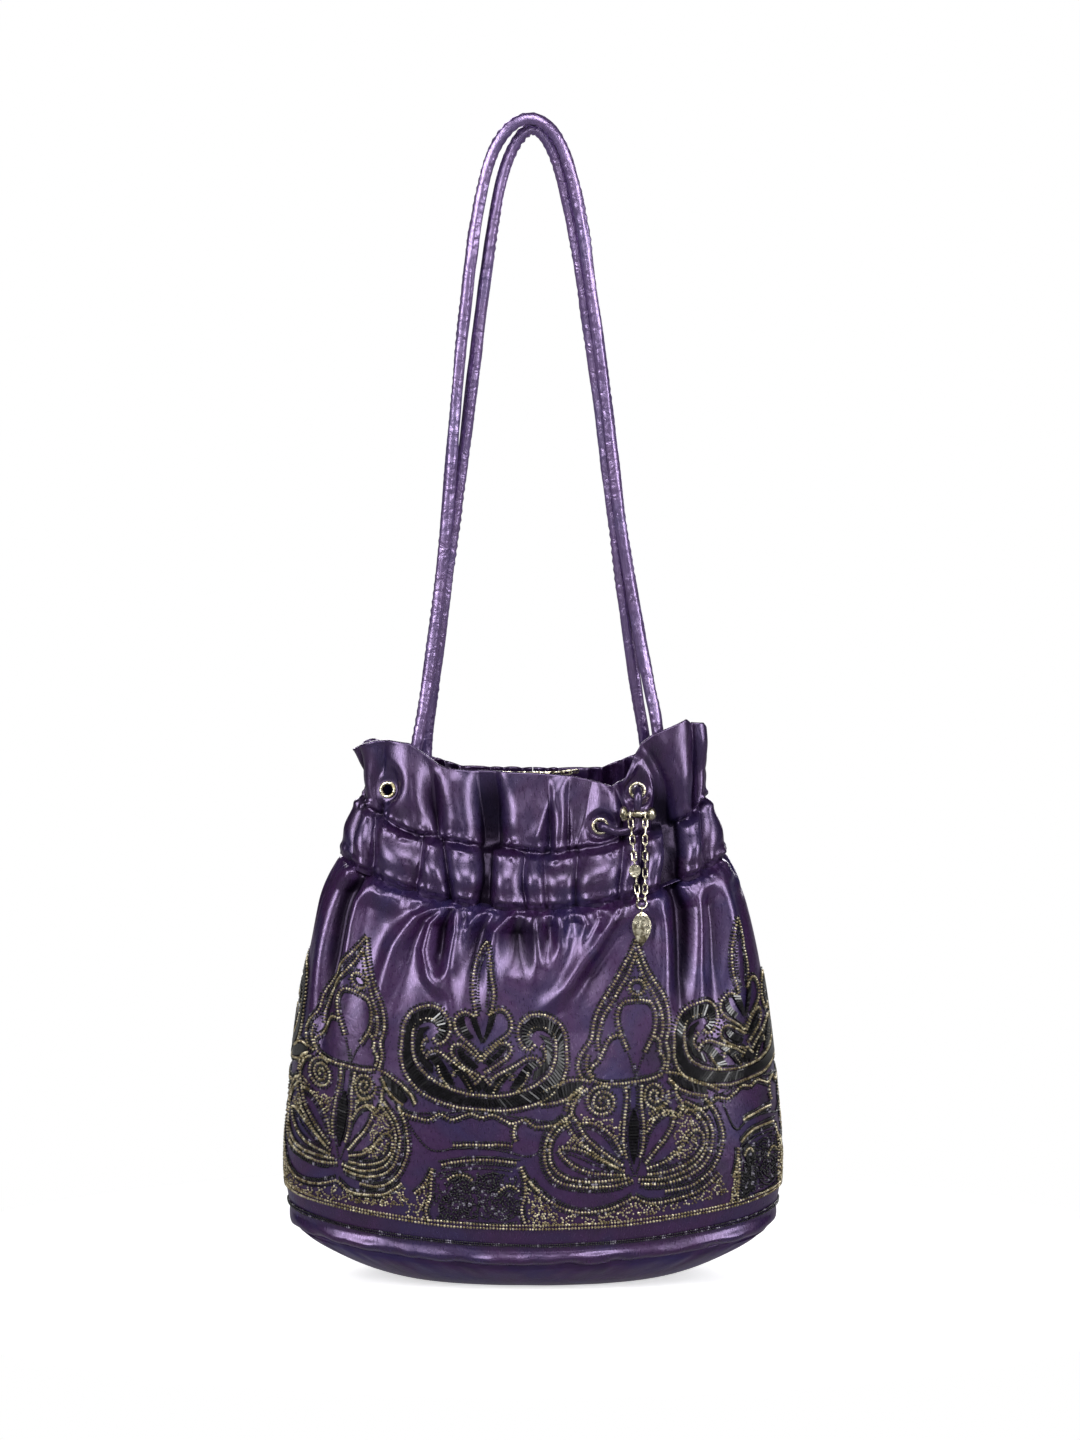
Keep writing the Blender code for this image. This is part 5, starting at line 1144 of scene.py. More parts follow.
def neck_relief(place, level, settings):
    """How far the band and frill stand out from the loft, and how far their folds roll sideways."""
    frill, frill_shift = lobed(gathers(FRILL_GATHERS, (8, 7, 6), 21, 18), place, level)
    band, band_shift = lobed(gathers(BAND_GATHERS, (6, 5, 4), 22, 26), place, level)
    share = np.clip((level - 5.85) / 0.3, 0, 1)
    share = share * share * (3 - 2 * share)
    relief, shift = band + (frill - band) * share, band_shift + (frill_shift - band_shift) * share
    # A slanting ridge on the middle of the frill
    relief += fold_sum([front_fold(CENTRE_RIDGE)], place, level)
    gather = seam_pinch(level, LOWER_GATHER, 0.13) + seam_pinch(level, UPPER_GATHER, 0.12)
    left_side = np.exp(-((place + ROUND / 4) / 0.022) ** 2)
    gather *= 1 - 0.6 * left_side
    relief = relief * (1 - 0.30 * gather) - 0.0020 * gather
    wrapped = place % ROUND
    calm = np.clip((relief + 0.0062) / 0.0035, 0, 1)
    for seed, count, levels in ((23, 60, (6, 5.2)), (24, 60, (6, 6.8)), (25, 60, (4, 4.8))):
        relief += calm * fold_sum(random_folds(seed, count, (0, ROUND), levels, (0.0016, 0.0030), (0.0003, 0.0009),
                                        0.004), wrapped, level)
    relief += calm * seam_puckers(place, 5, 0.0070, 0.0018) * seam_pinch(level, 6.17, 0.10)
    relief += calm * seam_puckers(place, 6, 0.0095, 0.0014) * seam_pinch(level, 5.80, 0.13)
    relief += calm * seam_puckers(place, 7, 0.0100, 0.0013) * seam_pinch(level, 4.22, 0.13)
    relief += 0.0007 * soft_noise(place, level, 40, 4)
    relief += 0.0009 * soft_noise(place, level, 36, 9) * seam_pinch(level, 5.0, 0.8)
    relief += 0.0016 * soft_noise(place, level, 48, 10) * np.clip((level - 6.1) / 0.4, 0, 1)
    free = 1 - pressed_flat(place, level)
    relief = above(relief * settings.fold_depth * free, inner_room(place, level), 0.0008)
    return relief, shift * free * settings.fold_depth


def above(value, floor, softness):
    """Value held above a floor with a soft knee."""
    return floor + softness * np.log1p(np.exp(np.clip((value - floor) / softness, -40, 40)))


def inner_room(place, level):
    """How far in a fold may go before it meets the cords inside the mouth or the lining."""
    plain = loft(place, level, 0.0)
    beside = np.abs(plain[..., 0])
    cord = np.interp(beside, (0, 0.054, 0.062, 0.070, 0.080), (0.0186, 0.0186, 0.0140, 0.0090, 0.0))
    frill = cord - np.abs(plain[..., 1])
    reach = np.clip((level - 6.1) / 0.4, 0, 1) * np.clip((0.074 - beside) / 0.006, 0, 1)
    return -0.0068 + (np.maximum(frill, -0.014) + 0.0068) * reach


def wrap_grid(name, columns, row_values, shape_points, seam=True):
    """Grid whose columns go round and whose rows run up, bent to shape; its UV map is in metres."""
    rows = len(row_values) - 1
    bm = bmesh.new()
    bmesh.ops.create_grid(bm, x_segments=columns, y_segments=rows, size=1)
    flat = np.array([vert.co for vert in bm.verts])
    across = (flat[:, 0] + 1) / 2
    row = np.rint((flat[:, 1] + 1) / 2 * rows).astype(int)
    points, uvs, *relief = shape_points(across, np.asarray(row_values)[row], row)
    # An optional third array goes into the Fold attribute, by which the satin material paints shade
    layer = bm.loops.layers.uv.new("Cloth")
    if relief:
        fold = bm.verts.layers.float.new("Fold")
        for vert, height in zip(bm.verts, relief[0].tolist()):
            vert[fold] = height
    for vert, point in zip(bm.verts, points.tolist()):
        vert.co = point
    bm.verts.index_update()
    uv_list = uvs.tolist()
    for face in bm.faces:
        for loop in face.loops:
            loop[layer].uv = uv_list[loop.vert.index]
    if seam:
        edge = [vert for vert in bm.verts if across[vert.index] < 1e-6 or across[vert.index] > 1 - 1e-6]
        bmesh.ops.remove_doubles(bm, verts=edge, dist=1e-6)
    return bm


def piece_from(bm, name, material, body="bag", smooth_angle=None):
    """Make the finished mesh a piece that rides on a body."""
    mesh = bpy.data.meshes.new(name)
    bm.to_mesh(mesh)
    bm.free()
    mesh.shade_smooth()
    if smooth_angle:
        mesh.set_sharp_from_angle(angle=smooth_angle)
    mesh.materials.append(material)
    obj = bpy.data.objects.new(name, mesh)
    bpy.context.scene.collection.objects.link(obj)
    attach(obj, body)
    return obj


def spread(*stops):
    """Row values through (value, rows) stops, even between each two."""
    values = [stops[0][0]]
    for (start, _), (end, count) in zip(stops, stops[1:]):
        values.extend(np.linspace(start, end, count + 1)[1:])
    return values


def smooth_route(route, spacing):
    """Evenly spaced points on a smooth curve through the route."""
    spots = np.array(route)
    steps = np.linspace(0, len(spots) - 1, (len(spots) - 1) * 24 + 1)
    fine = np.stack([station(spots[:, axis], steps) for axis in range(3)], axis=-1)
    run = np.concatenate(([0], np.cumsum(np.linalg.norm(np.diff(fine, axis=0), axis=1))))
    even = np.linspace(0, run[-1], int(run[-1] / spacing) + 1)
    return np.stack([np.interp(even, run, fine[:, axis]) for axis in range(3)], axis=-1), even


def carried_axes(points):
    """Sideways axes along a line, carried without twist."""
    heading = np.gradient(points, axis=0)
    heading /= np.linalg.norm(heading, axis=1)[:, None]
    side = np.array((0.0, 1.0, 0.0))
    sides = []
    for direction in heading:
        side = side - direction * side.dot(direction)
        side /= np.linalg.norm(side)
        sides.append(side.copy())
    sides = np.array(sides)
    return sides, np.cross(heading, sides)


def level_above_seam(up):
    """Level at a height above the base seam, in metres."""
    levels = np.linspace(-0.2, 5, 521)
    return np.interp(up, station(HEIGHTS, levels) - HEIGHTS[0], levels)


def cloth_point(place, up, outward, settings):
    """Point over the body's satin at a place and a height above the seam."""
    wrapped = (place + ROUND / 2) % ROUND - ROUND / 2
    level = level_above_seam(up)
    return loft(wrapped, level, body_relief(wrapped, level, settings) + outward)


def bead_axes(spots, outward, settings):
    """Points over the cloth with the two ways along it and the way out, for placing beads."""
    place, up = spots[:, 0], spots[:, 1]
    step = 0.0006
    centre = cloth_point(place, up, outward, settings)
    across = cloth_point(place + step, up, outward, settings) - cloth_point(place - step, up, outward, settings)
    upward = cloth_point(place, up + step, outward, settings) - cloth_point(place, up - step, outward, settings)
    across /= np.linalg.norm(across, axis=1)[:, None]
    out = np.cross(across, upward)
    out /= np.linalg.norm(out, axis=1)[:, None]
    return centre, across, np.cross(out, across), out


def threaded(points, pitch):
    """Even spots and headings along the smooth curve through a drawing's points, in metres."""
    spots = np.array(points, float) / 1000
    steps = np.linspace(0, len(spots) - 1, (len(spots) - 1) * 12 + 1)
    fine = np.stack([station(spots[:, axis], steps) for axis in range(2)], axis=-1)
    run = np.concatenate(([0], np.cumsum(np.linalg.norm(np.diff(fine, axis=0), axis=1))))
    count = max(int(round(run[-1] / pitch)), 1)
    even = (np.arange(count) + 0.5) * run[-1] / count
    line = np.stack([np.interp(even, run, fine[:, axis]) for axis in range(2)], axis=-1)
    ahead = np.stack([np.interp(even + 1e-4, run, fine[:, axis]) for axis in range(2)], axis=-1) - line
    ahead[-1] = ahead[-2] if count > 1 else (fine[-1] - fine[0])
    return line, ahead / np.maximum(np.linalg.norm(ahead, axis=1), 1e-9)[:, None]


def laid_across(first, second, pitch):
    """Middles, headings across and lengths of bugles laid between two edges."""
    edges = []
    for points in (first, second):
        spots = np.array(points, float) / 1000
        steps = np.linspace(0, len(spots) - 1, 200)
        edges.append(np.stack([station(spots[:, axis], steps) for axis in range(2)], axis=-1))
    middle = (edges[0] + edges[1]) / 2
    run = np.concatenate(([0], np.cumsum(np.linalg.norm(np.diff(middle, axis=0), axis=1))))
    count = max(int(round(run[-1] / pitch)), 2)
    even = (np.arange(count) + 0.5) * run[-1] / count
    sides = [np.stack([np.interp(even, run, edge[:, axis]) for axis in range(2)], axis=-1) for edge in edges]
    gap = sides[1] - sides[0]
    length = np.linalg.norm(gap, axis=1)
    return (sides[0] + sides[1]) / 2, gap / np.maximum(length, 1e-9)[:, None], length


def bead_template(kind):
    """One bead, 1 m across, with its hole along X."""
    bm = bmesh.new()
    if kind == "bugle":
        bmesh.ops.create_cone(bm, cap_ends=True, segments=6, radius1=0.5, radius2=0.5, depth=1,
                              matrix=Matrix.Rotation(math.pi / 2, 4, "Y"))
    else:
        bmesh.ops.create_uvsphere(bm, u_segments=4 if kind == "outline" else 6, v_segments=3, radius=0.5,
                                  matrix=Matrix.Rotation(math.pi / 2, 4, "Y"))
    mesh = bpy.data.meshes.new(kind)
    bm.to_mesh(mesh)
    bm.free()
    return mesh


def strew(name, kind, rows, material, settings, outward):
    """One piece of beads; rows hold spots, headings and sizes (along, across, out) on the cloth."""
    spots, headings, sizes = (np.concatenate(column) for column in zip(*rows))
    centre, across, upward, out = bead_axes(spots, outward, settings)
    ahead = across * headings[:, :1] + upward * headings[:, 1:]
    ahead /= np.linalg.norm(ahead, axis=1)[:, None]
    if kind == "bugle":
        roll = np.random.RandomState(len(centre)).uniform(-0.06, 0.06, (len(centre), 1))
        ahead = ahead + out * roll * 0.25
        ahead /= np.linalg.norm(ahead, axis=1)[:, None]
        out = out + np.cross(ahead, out) * roll
        out -= ahead * np.sum(out * ahead, axis=1)[:, None]
        out /= np.linalg.norm(out, axis=1)[:, None]
    aside = np.cross(out, ahead)
    template = bead_template(kind)
    unit = np.empty(len(template.vertices) * 3)
    template.vertices.foreach_get("co", unit)
    unit = unit.reshape(-1, 3)
    bm = bmesh.new()
    for _ in range(len(centre)):
        bm.from_mesh(template)
    bpy.data.meshes.remove(template)
    places = (
        centre[:, None, :] + unit[None, :, :1] * (ahead * sizes[:, :1])[:, None, :]
        + unit[None, :, 1:2] * (aside * sizes[:, 1:2])[:, None, :]
        + unit[None, :, 2:] * (out * sizes[:, 2:])[:, None, :]
    )
    for vert, spot in zip(bm.verts, places.reshape(-1, 3).tolist()):
        vert.co = spot
    return piece_from(bm, name, material, smooth_angle=0.8 if kind == "bugle" else None)


def inside_outline(spots, outline):
    """Whether each spot lies inside a closed outline."""
    inside = np.zeros(len(spots), bool)
    for (x1, y1), (x2, y2) in zip(outline, np.roll(outline, -1, axis=0)):
        crosses = (y1 > spots[:, 1]) != (y2 > spots[:, 1])
        at = x1 + (spots[:, 1] - y1) / (y2 - y1 + 1e-12) * (x2 - x1)
        inside ^= crosses & (spots[:, 0] < at)
    return inside


def wandering(outline, pitch, random):
    """Spots and headings of short curling threads that fill an outline without touching each other."""
    outline = np.array(outline) / 1000
    low, high = outline.min(axis=0), outline.max(axis=0)
    spots, headings = np.zeros((0, 2)), np.zeros((0, 2))
    for _ in range(int(np.prod(high - low) / (pitch * pitch * 1.6)) + 8):
        here = random.uniform(low, high)
        turn, bend = random.uniform(0, 2 * np.pi), random.choice((-1, 1)) * random.uniform(0.3, 0.9)
        for _ in range(random.randint(4, 10)):
            taken = len(spots) and np.min(np.linalg.norm(spots - here, axis=1)) < pitch * 0.86
            if taken or not inside_outline(here[None], outline)[0]:
                break
            ahead = np.array((math.cos(turn), math.sin(turn)))
            spots, headings = np.vstack((spots, here)), np.vstack((headings, ahead))
            here = here + ahead * pitch
            turn += bend
    return spots, headings


def motif_rows(drawing, centre, left, right, lean, tall, settings, random):
    """Rows of gold beads, black beads and bugles for one motif."""
    rows = {"gold": [], "black": [], "bugle": []}
    lines = [(line, 1) for line in drawing]
    if drawing is CROWN:
        lines += [(line, side) for line in CROWN_HALF for side in (1, -1)]
    for (kind, *edges), side in lines:
        if kind == "bugle":
            spots, headings, lengths = laid_across(edges[0], edges[1], settings.bugle_pitch)
            sizes = np.stack((lengths, np.full(len(spots), 0.0016), np.full(len(spots), 0.0016)), axis=-1)
        elif kind.endswith("_fill"):
            pitch = settings.bead_pitch * (0.8 if kind == "gold_fill" else 0.95)
            spots, headings = wandering(edges[0], pitch, random)
            sizes = np.full((len(spots), 3), pitch) * random.uniform(0.75, 1.1, (len(spots), 1))
        else:
            pitch = settings.bead_pitch if kind == "gold" else settings.bead_pitch * 0.9
            spots, headings = threaded(edges[0], pitch)
            size = pitch * random.uniform(1.00, 1.20, len(spots))
            sizes = np.stack((size * 0.72, size, size), axis=-1)
            spots = spots + random.uniform(-0.00010, 0.00010, spots.shape)
        spots = spots * (side, 1)
        headings = headings * (side, 1)
        if drawing is CROWN and spots[:, 1].max() > LOW_PART_TOP:
            low = np.zeros(len(spots))
        else:
            low = np.clip((LOW_PART_TOP + LOW_PART_BLEND - spots[:, 1]) / LOW_PART_BLEND, 0, 1)
        narrow = np.where(spots[:, 0] < 0, left, right)
        spots[:, 0] *= 1 + (narrow - 1) * low
        above_start = np.maximum(spots[:, 1] - LEAN_START, 0)
        spots[:, 0] += lean * (above_start / LEAN_REACH) ** 1.5
        spots[:, 1] += above_start * (tall - 1) * 2
        spots[:, 0] += centre
        rows[kind.removesuffix("_fill")].append((spots, headings, sizes))
        if kind == "gold":
            normal = np.stack((headings[:, 1], -headings[:, 0]), axis=-1)
            for beside in (0.00145, -0.00145):
                thread = spots + normal * beside
                rows["black"].append((thread, headings, np.tile((0.0014, 0.0014, 0.0011), (len(spots), 1))))
    return rows


def bead_material(name, tones, shares, metallic, rough, coat=0.0):
    """Pressed glass seed beads: each its own shade, with a hard, small highlight."""
    material, tree = new_material(name)
    place = add_node(tree, "ShaderNodeTexCoord").outputs["Object"]
    one_by_one = add_node(tree, "ShaderNodeTexWhiteNoise", {
        "Vector": add_node(tree, "ShaderNodeVectorMath", {0: place, 1: (0.0016, 0.0016, 0.0016)},
                           operation="SNAP").outputs[0],
    })
    tone = color_ramp(tree, one_by_one.outputs["Value"], [
        (spot, linear(color)) for spot, color in zip(shares, tones)
    ])
    shader = add_node(tree, "ShaderNodeBsdfPrincipled", {
        "Base Color": tone.outputs["Color"], "Metallic": metallic, "Roughness": rough,
        "IOR": 1.45, "Coat Weight": coat, "Coat Roughness": 0.08,
    })
    finish_material(tree, shader)
    return material


class PotliSettings(bpy.types.PropertyGroup):
    fold_depth: bpy.props.FloatProperty(
        name="Fold Depth", description="How deep the gathers are, as a share of the modelled depth",
        default=1.0, min=0.0, max=1.5, subtype="FACTOR",
    )
    cord_diameter: bpy.props.FloatProperty(
        name="Cord Diameter", description="Thickness of the satin strap cords",
        default=0.006, min=0.003, max=0.008, unit="LENGTH",
    )
    bead_pitch: bpy.props.FloatProperty(
        name="Bead Pitch", description="Distance from one seed bead to the next along its thread",
        default=0.0016, min=0.001, max=0.003, unit="LENGTH",
    )
    bugle_pitch: bpy.props.FloatProperty(
        name="Bugle Pitch", description="Distance from one bugle bead to the next across a band",
        default=0.0015, min=0.001, max=0.003, unit="LENGTH",
    )
    satin_color: bpy.props.FloatVectorProperty(
        name="Satin", description="Dye of the satin", subtype="COLOR", size=4,
        default=linear("#4A2A78"), min=0, max=1,
    )


class POTLI_OT_stage(bpy.types.Operator):
    """Set up the camera, the pale floor and the soft studio light"""
    bl_idname = "potli.stage"
    bl_label = "Stage and Camera"

    def execute(self, context):
        scene = context.scene
        data = bpy.data.cameras.new("camera")
        data.sensor_width = 36
        pitch = math.atan2(CAMERA_HEIGHT - VIEW_CENTRE.z, CAMERA_DISTANCE)
        reach = math.hypot(CAMERA_DISTANCE, CAMERA_HEIGHT - VIEW_CENTRE.z)
        data.lens = data.sensor_width * reach / FRAME_HEIGHT
        data.clip_end = 50
        camera = bpy.data.objects.new("camera", data)
        camera.location = (VIEW_CENTRE.x, -CAMERA_DISTANCE, CAMERA_HEIGHT)
        camera.rotation_euler = (math.pi / 2 - pitch, 0, 0)
        scene.collection.objects.link(camera)
        scene.camera = camera
        scene.view_settings.view_transform = "Standard"
        self.floor(scene)
        self.world(scene)
        for name, spot, aim, size, power in (
            ("key_left", (-1.20, -1.10, 0.90), (0, 0, 0.17), (0.60, 1.0), 25),
            ("key_right", (1.30, -0.85, 0.75), (0, 0, 0.17), (0.50, 1.0), 19),
            ("top_front", (0.15, -1.10, 1.50), (0, 0, 0.17), (1.1, 0.5), 18),
            ("front_fill", (0.25, -2.6, 0.75), (0, 0, 0.17), (0.5, 0.5), 4.0),
            ("back_left", (-0.42, 1.90, 1.00), (0, 0, 0.17), (0.60, 0.9), 20),
            ("back_right", (0.60, 1.80, 0.70), (0, 0, 0.17), (0.50, 0.9), 13),
        ):
            self.lamp(scene, name, Vector(spot), Vector(aim), size, power)
        return {"FINISHED"}

    def lamp(self, scene, name, spot, aim, size, power):
        data = bpy.data.lights.new(name, "AREA")
        data.shape = "RECTANGLE"
        data.size, data.size_y = size
        data.energy = power
        lamp = bpy.data.objects.new(name, data)
        lamp.location = spot
        lamp.rotation_euler = (aim - spot).to_track_quat("-Z", "Y").to_euler()
        scene.collection.objects.link(lamp)

    def floor(self, scene):
        bm = bmesh.new()
        bmesh.ops.create_grid(bm, x_segments=8, y_segments=8, size=9)
        mesh = bpy.data.meshes.new("floor")
        bm.to_mesh(mesh)
        bm.free()
        floor = bpy.data.objects.new("floor", mesh)
        scene.collection.objects.link(floor)
        # White sheet that the camera sees white, with the bag's soft shadow kept
        material, tree = new_material("white_sheet")
        path = add_node(tree, "ShaderNodeLightPath")
        place = add_node(tree, "ShaderNodeTexCoord").outputs["Object"]
        away = add_node(tree, "ShaderNodeVectorMath", {0: place}, operation="LENGTH")
        near = add_node(tree, "ShaderNodeMapRange", {
            "Value": away.outputs["Value"], "From Min": 0.13, "From Max": 0.34, "To Min": 0.0, "To Max": 1.0,
        })
        sheet = add_node(tree, "ShaderNodeBsdfDiffuse", {"Color": linear("#F4F4F6")})
        glow = add_node(tree, "ShaderNodeEmission", {"Color": (1, 1, 1, 1), "Strength": 0.62})
        lit = add_node(tree, "ShaderNodeAddShader", {0: sheet.outputs[0], 1: glow.outputs[0]})
        white = add_node(tree, "ShaderNodeEmission", {"Color": (1, 1, 1, 1), "Strength": 1.0})
        far = add_node(tree, "ShaderNodeMixShader", {
            "Fac": near.outputs[0], 1: lit.outputs[0], 2: white.outputs[0],
        })
        # Metal and beads see the sheet as an even pale glow of fixed strength
        pale = add_node(tree, "ShaderNodeEmission", {"Color": (1, 1, 1, 1), "Strength": 0.32})
        glossy = add_node(tree, "ShaderNodeMixShader", {
            "Fac": path.outputs["Is Glossy Ray"], 1: sheet.outputs[0], 2: pale.outputs[0],
        })
        both = add_node(tree, "ShaderNodeMixShader", {
            "Fac": path.outputs["Is Camera Ray"], 1: glossy.outputs[0], 2: far.outputs[0],
        })
        finish_material(tree, both)
        mesh.materials.append(material)

    def world(self, scene):
        world = bpy.data.worlds.new("studio")
        world.use_nodes = True
        tree = world.node_tree
        tree.nodes.clear()
        path = add_node(tree, "ShaderNodeLightPath")
        room = add_node(tree, "ShaderNodeBackground", {"Color": (1, 1, 1, 1), "Strength": 0.05})
        white = add_node(tree, "ShaderNodeBackground", {"Color": (1, 1, 1, 1), "Strength": 1.0})
        seen = add_node(tree, "ShaderNodeMixShader", {
            "Fac": path.outputs["Is Camera Ray"], 1: room.outputs[0], 2: white.outputs[0],
        })
        add_node(tree, "ShaderNodeOutputWorld", {"Surface": seen.outputs[0]})
        scene.world = world


class POTLI_OT_strap(bpy.types.Operator):
    """Make the two satin strap cords that are also the drawcords"""
    bl_idname = "potli.strap"
    bl_label = "Strap Cords"

    def execute(self, context):
        settings = context.scene.potli
        material = satin_material("strap_satin", "#1B0D2D", "#2A1944", "#231E46", "#301944", 0.33, 0.22, 4.2, 0.6)
        for name, route, seed in (("satin_cord_front", FRONT_ROUTE, 1), ("satin_cord_back", BACK_ROUTE, 2)):
            self.cord(name, route, seed, settings, material)
        return {"FINISHED"}

    def cord(self, name, route, seed, settings, material):
        points, run = smooth_route(route, 0.0022)
        sides, ups = carried_axes(points)
        narrow = np.min([np.linalg.norm(points - np.array(spot), axis=1) for spot in CORD_NARROW_PLACES], axis=0)
        share = np.clip((narrow - CORD_NARROW_REACH) / (CORD_FULL_REACH - CORD_NARROW_REACH), 0, 1)
        radius = (CORD_IN_EYELET + (settings.cord_diameter - CORD_IN_EYELET) * share) / 2
        # The tube puckers where it bends over the top, more on the inner cord
        bend = np.exp(-((points[:, 2] - 0.577) / 0.016) ** 2) * (0.00055 if seed == 1 else 0.0008)

        def shape(across, _, row):
            turn = 2 * np.pi * across
            spot = run[row]
            wave = np.array([
                noise.noise((math.cos(t) * 1.5, math.sin(t) * 1.5, s * 75 + seed * 9))
                for t, s in zip(turn.tolist(), spot.tolist())
            ])
            pucker = np.sin(spot * 2 * np.pi / 0.0042 + 1.4 * np.sin(turn)) * bend[row] * np.cos(turn - 1.0) ** 2
            seam = -0.00035 * np.exp(-((np.angle(np.exp(1j * (turn - 4.4 + 0.5 * np.sin(spot * 40)))) / 0.22) ** 2))
            along = np.array([
                noise.noise((math.cos(t) * 2.6, math.sin(t) * 2.6, s * 28 + seed * 5))
                for t, s in zip(turn.tolist(), spot.tolist())
            ])
            ripple = sum(
                0.00038 * np.sin(spot * 2 * np.pi / step + 3 * wave + seed) * np.exp(-((turn - where_at) / 0.36) ** 2)
                for step, where_at in ((0.0052, 4.0), (0.0043, 2.2))
            )
            free = np.clip((radius[row] - 0.0022) / 0.0006, 0, 1)
            reach = radius[row] + (0.00030 * wave + 0.00042 * along + ripple) * free + pucker + seam * free
            where = (points[row] + sides[row] * (np.cos(turn) * reach)[:, None]
                     + ups[row] * (np.sin(turn) * reach)[:, None])
            # Painted shade: the cord is darkened, through the Fold attribute, where it runs between and through the
            # eyelets
            eyelet_painted_shade = -0.0045 * np.clip((0.016 - narrow[row]) / 0.006, 0, 1)
            return where, np.stack((across * 2 * np.pi * 0.003, spot), axis=-1), eyelet_painted_shade

        bm = wrap_grid(name, 22, np.arange(len(points)), shape)
        for end in (0, len(points) - 1):
            centre = Vector(points[end])
            loop = [edge for edge in bm.edges if edge.is_boundary
                    and all((vert.co - centre).length < 0.005 for vert in edge.verts)]
            bmesh.ops.contextual_create(bm, geom=loop)
        bmesh.ops.recalc_face_normals(bm, faces=bm.faces)
        cord = piece_from(bm, name, material)
        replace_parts(cord, "strap_cord_front" if seed == 1 else "strap_cord_back")


class POTLI_OT_body(bpy.types.Operator):
    """Make the satin body, gathered in folds under the band"""
    bl_idname = "potli.body"
    bl_label = "Satin Body"

    def execute(self, context):
        settings = context.scene.potli
        material = satin_material("body_satin", "#12081D", "#1C0E2E", "#191639", "#260D30", 0.30, 0.07, 2.0, 0.35)

        def shape(across, level, _):
            place = (across - 0.5) * ROUND
            relief = body_relief(place, level, settings)
            tuck = np.where(level < 0, 0.012 * level, 0) - np.where(level > 4, 0.06 * (level - 4), 0)
            points = loft(place, level, relief + tuck)
            # The third array drives the painted shade: the relief, a little deeper, so that shallow valleys darken
            # too
            return points, np.stack((place, station(HEIGHTS, level)), axis=-1), relief * 1.2 - 0.0002

        rows = spread((-0.12, 0), (0.0, 4), (0.35, 12), (3.0, 78), (3.6, 26), (4.06, 26))
        bm = wrap_grid("satin_body", 520, rows, shape)
        bmesh.ops.recalc_face_normals(bm, faces=bm.faces)
        body = piece_from(bm, "satin_body", material)
        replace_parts(body, "front_panel", "back_panel")
        return {"FINISHED"}


class POTLI_OT_neck(bpy.types.Operator):
    """Make the gathered band and the frill that turns over at the rim"""
    bl_idname = "potli.neck"
    bl_label = "Band and Frill"

    def execute(self, context):
        settings = context.scene.potli
        material = satin_material("neck_satin", "#10071B", "#190C29", "#17122E", "#1F0C29", 0.30, 0.04, 2.0, 0.35)
        turn_start, turn_end = RIM, RIM + 0.24

        def shape(across, row_value, _):
            place = (across - 0.5) * ROUND
            inside = row_value > turn_end
            turning = np.clip((row_value - turn_start) / (turn_end - turn_start), 0, 1)
            level = np.where(inside, RIM - (row_value - turn_end), np.minimum(row_value, RIM))
            relief, shift = neck_relief(place, level, settings)
            half = SATIN_WALL / 2
            outward = relief - half + half * np.cos(np.pi * turning)
            over = half * np.sin(np.pi * turning)
            tuck = -np.where(level < LOWER_GATHER, 0.02 * (LOWER_GATHER - level), 0)
            # The stitching between band and frill runs unevenly
            stray = 0.0026 * soft_noise(place, np.full_like(level, UPPER_GATHER), 42, 14)
            over = over + stray * seam_pinch(level, UPPER_GATHER, 0.6)
            points = loft(place + shift, level, outward + tuck, rim_lift(place + shift, level) + over)
            points = press_seats(points, row_value > (turn_start + turn_end) / 2)
            # The third array drives the painted shade: the relief, scaled and a little deeper, so that the gathers'
            # valleys darken more
            return points, np.stack((place, 0.3 + row_value * 0.016), axis=-1), relief * 1.4 - 0.0006

        rows = spread((3.94, 0), (4.3, 12), (5.7, 20), (6.3, 16), (RIM, 36), (turn_end, 6),
                      (turn_end + 2.5, 26))
        bm = wrap_grid("satin_neck", 760, rows, shape)
        self.cut_holes(bm)
        neck = piece_from(bm, "satin_neck", material)
        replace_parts(neck, "yoke_left", "yoke_right")
        return {"FINISHED"}

    def cut_holes(self, bm):
        """Open the cloth inside each eyelet; the flanges cover the cut edge."""
        for centre, axis in eyelet_seats():
            centre, axis = Vector(centre), Vector(axis)
            inside = []
            for vert in bm.verts:
                away = vert.co - centre
                along = away.dot(axis)
                if abs(along) < 0.003 and (away - axis * along).length < EYELET_HOLE_RADIUS:
                    inside.append(vert)
            bmesh.ops.delete(bm, geom=inside, context="VERTS")


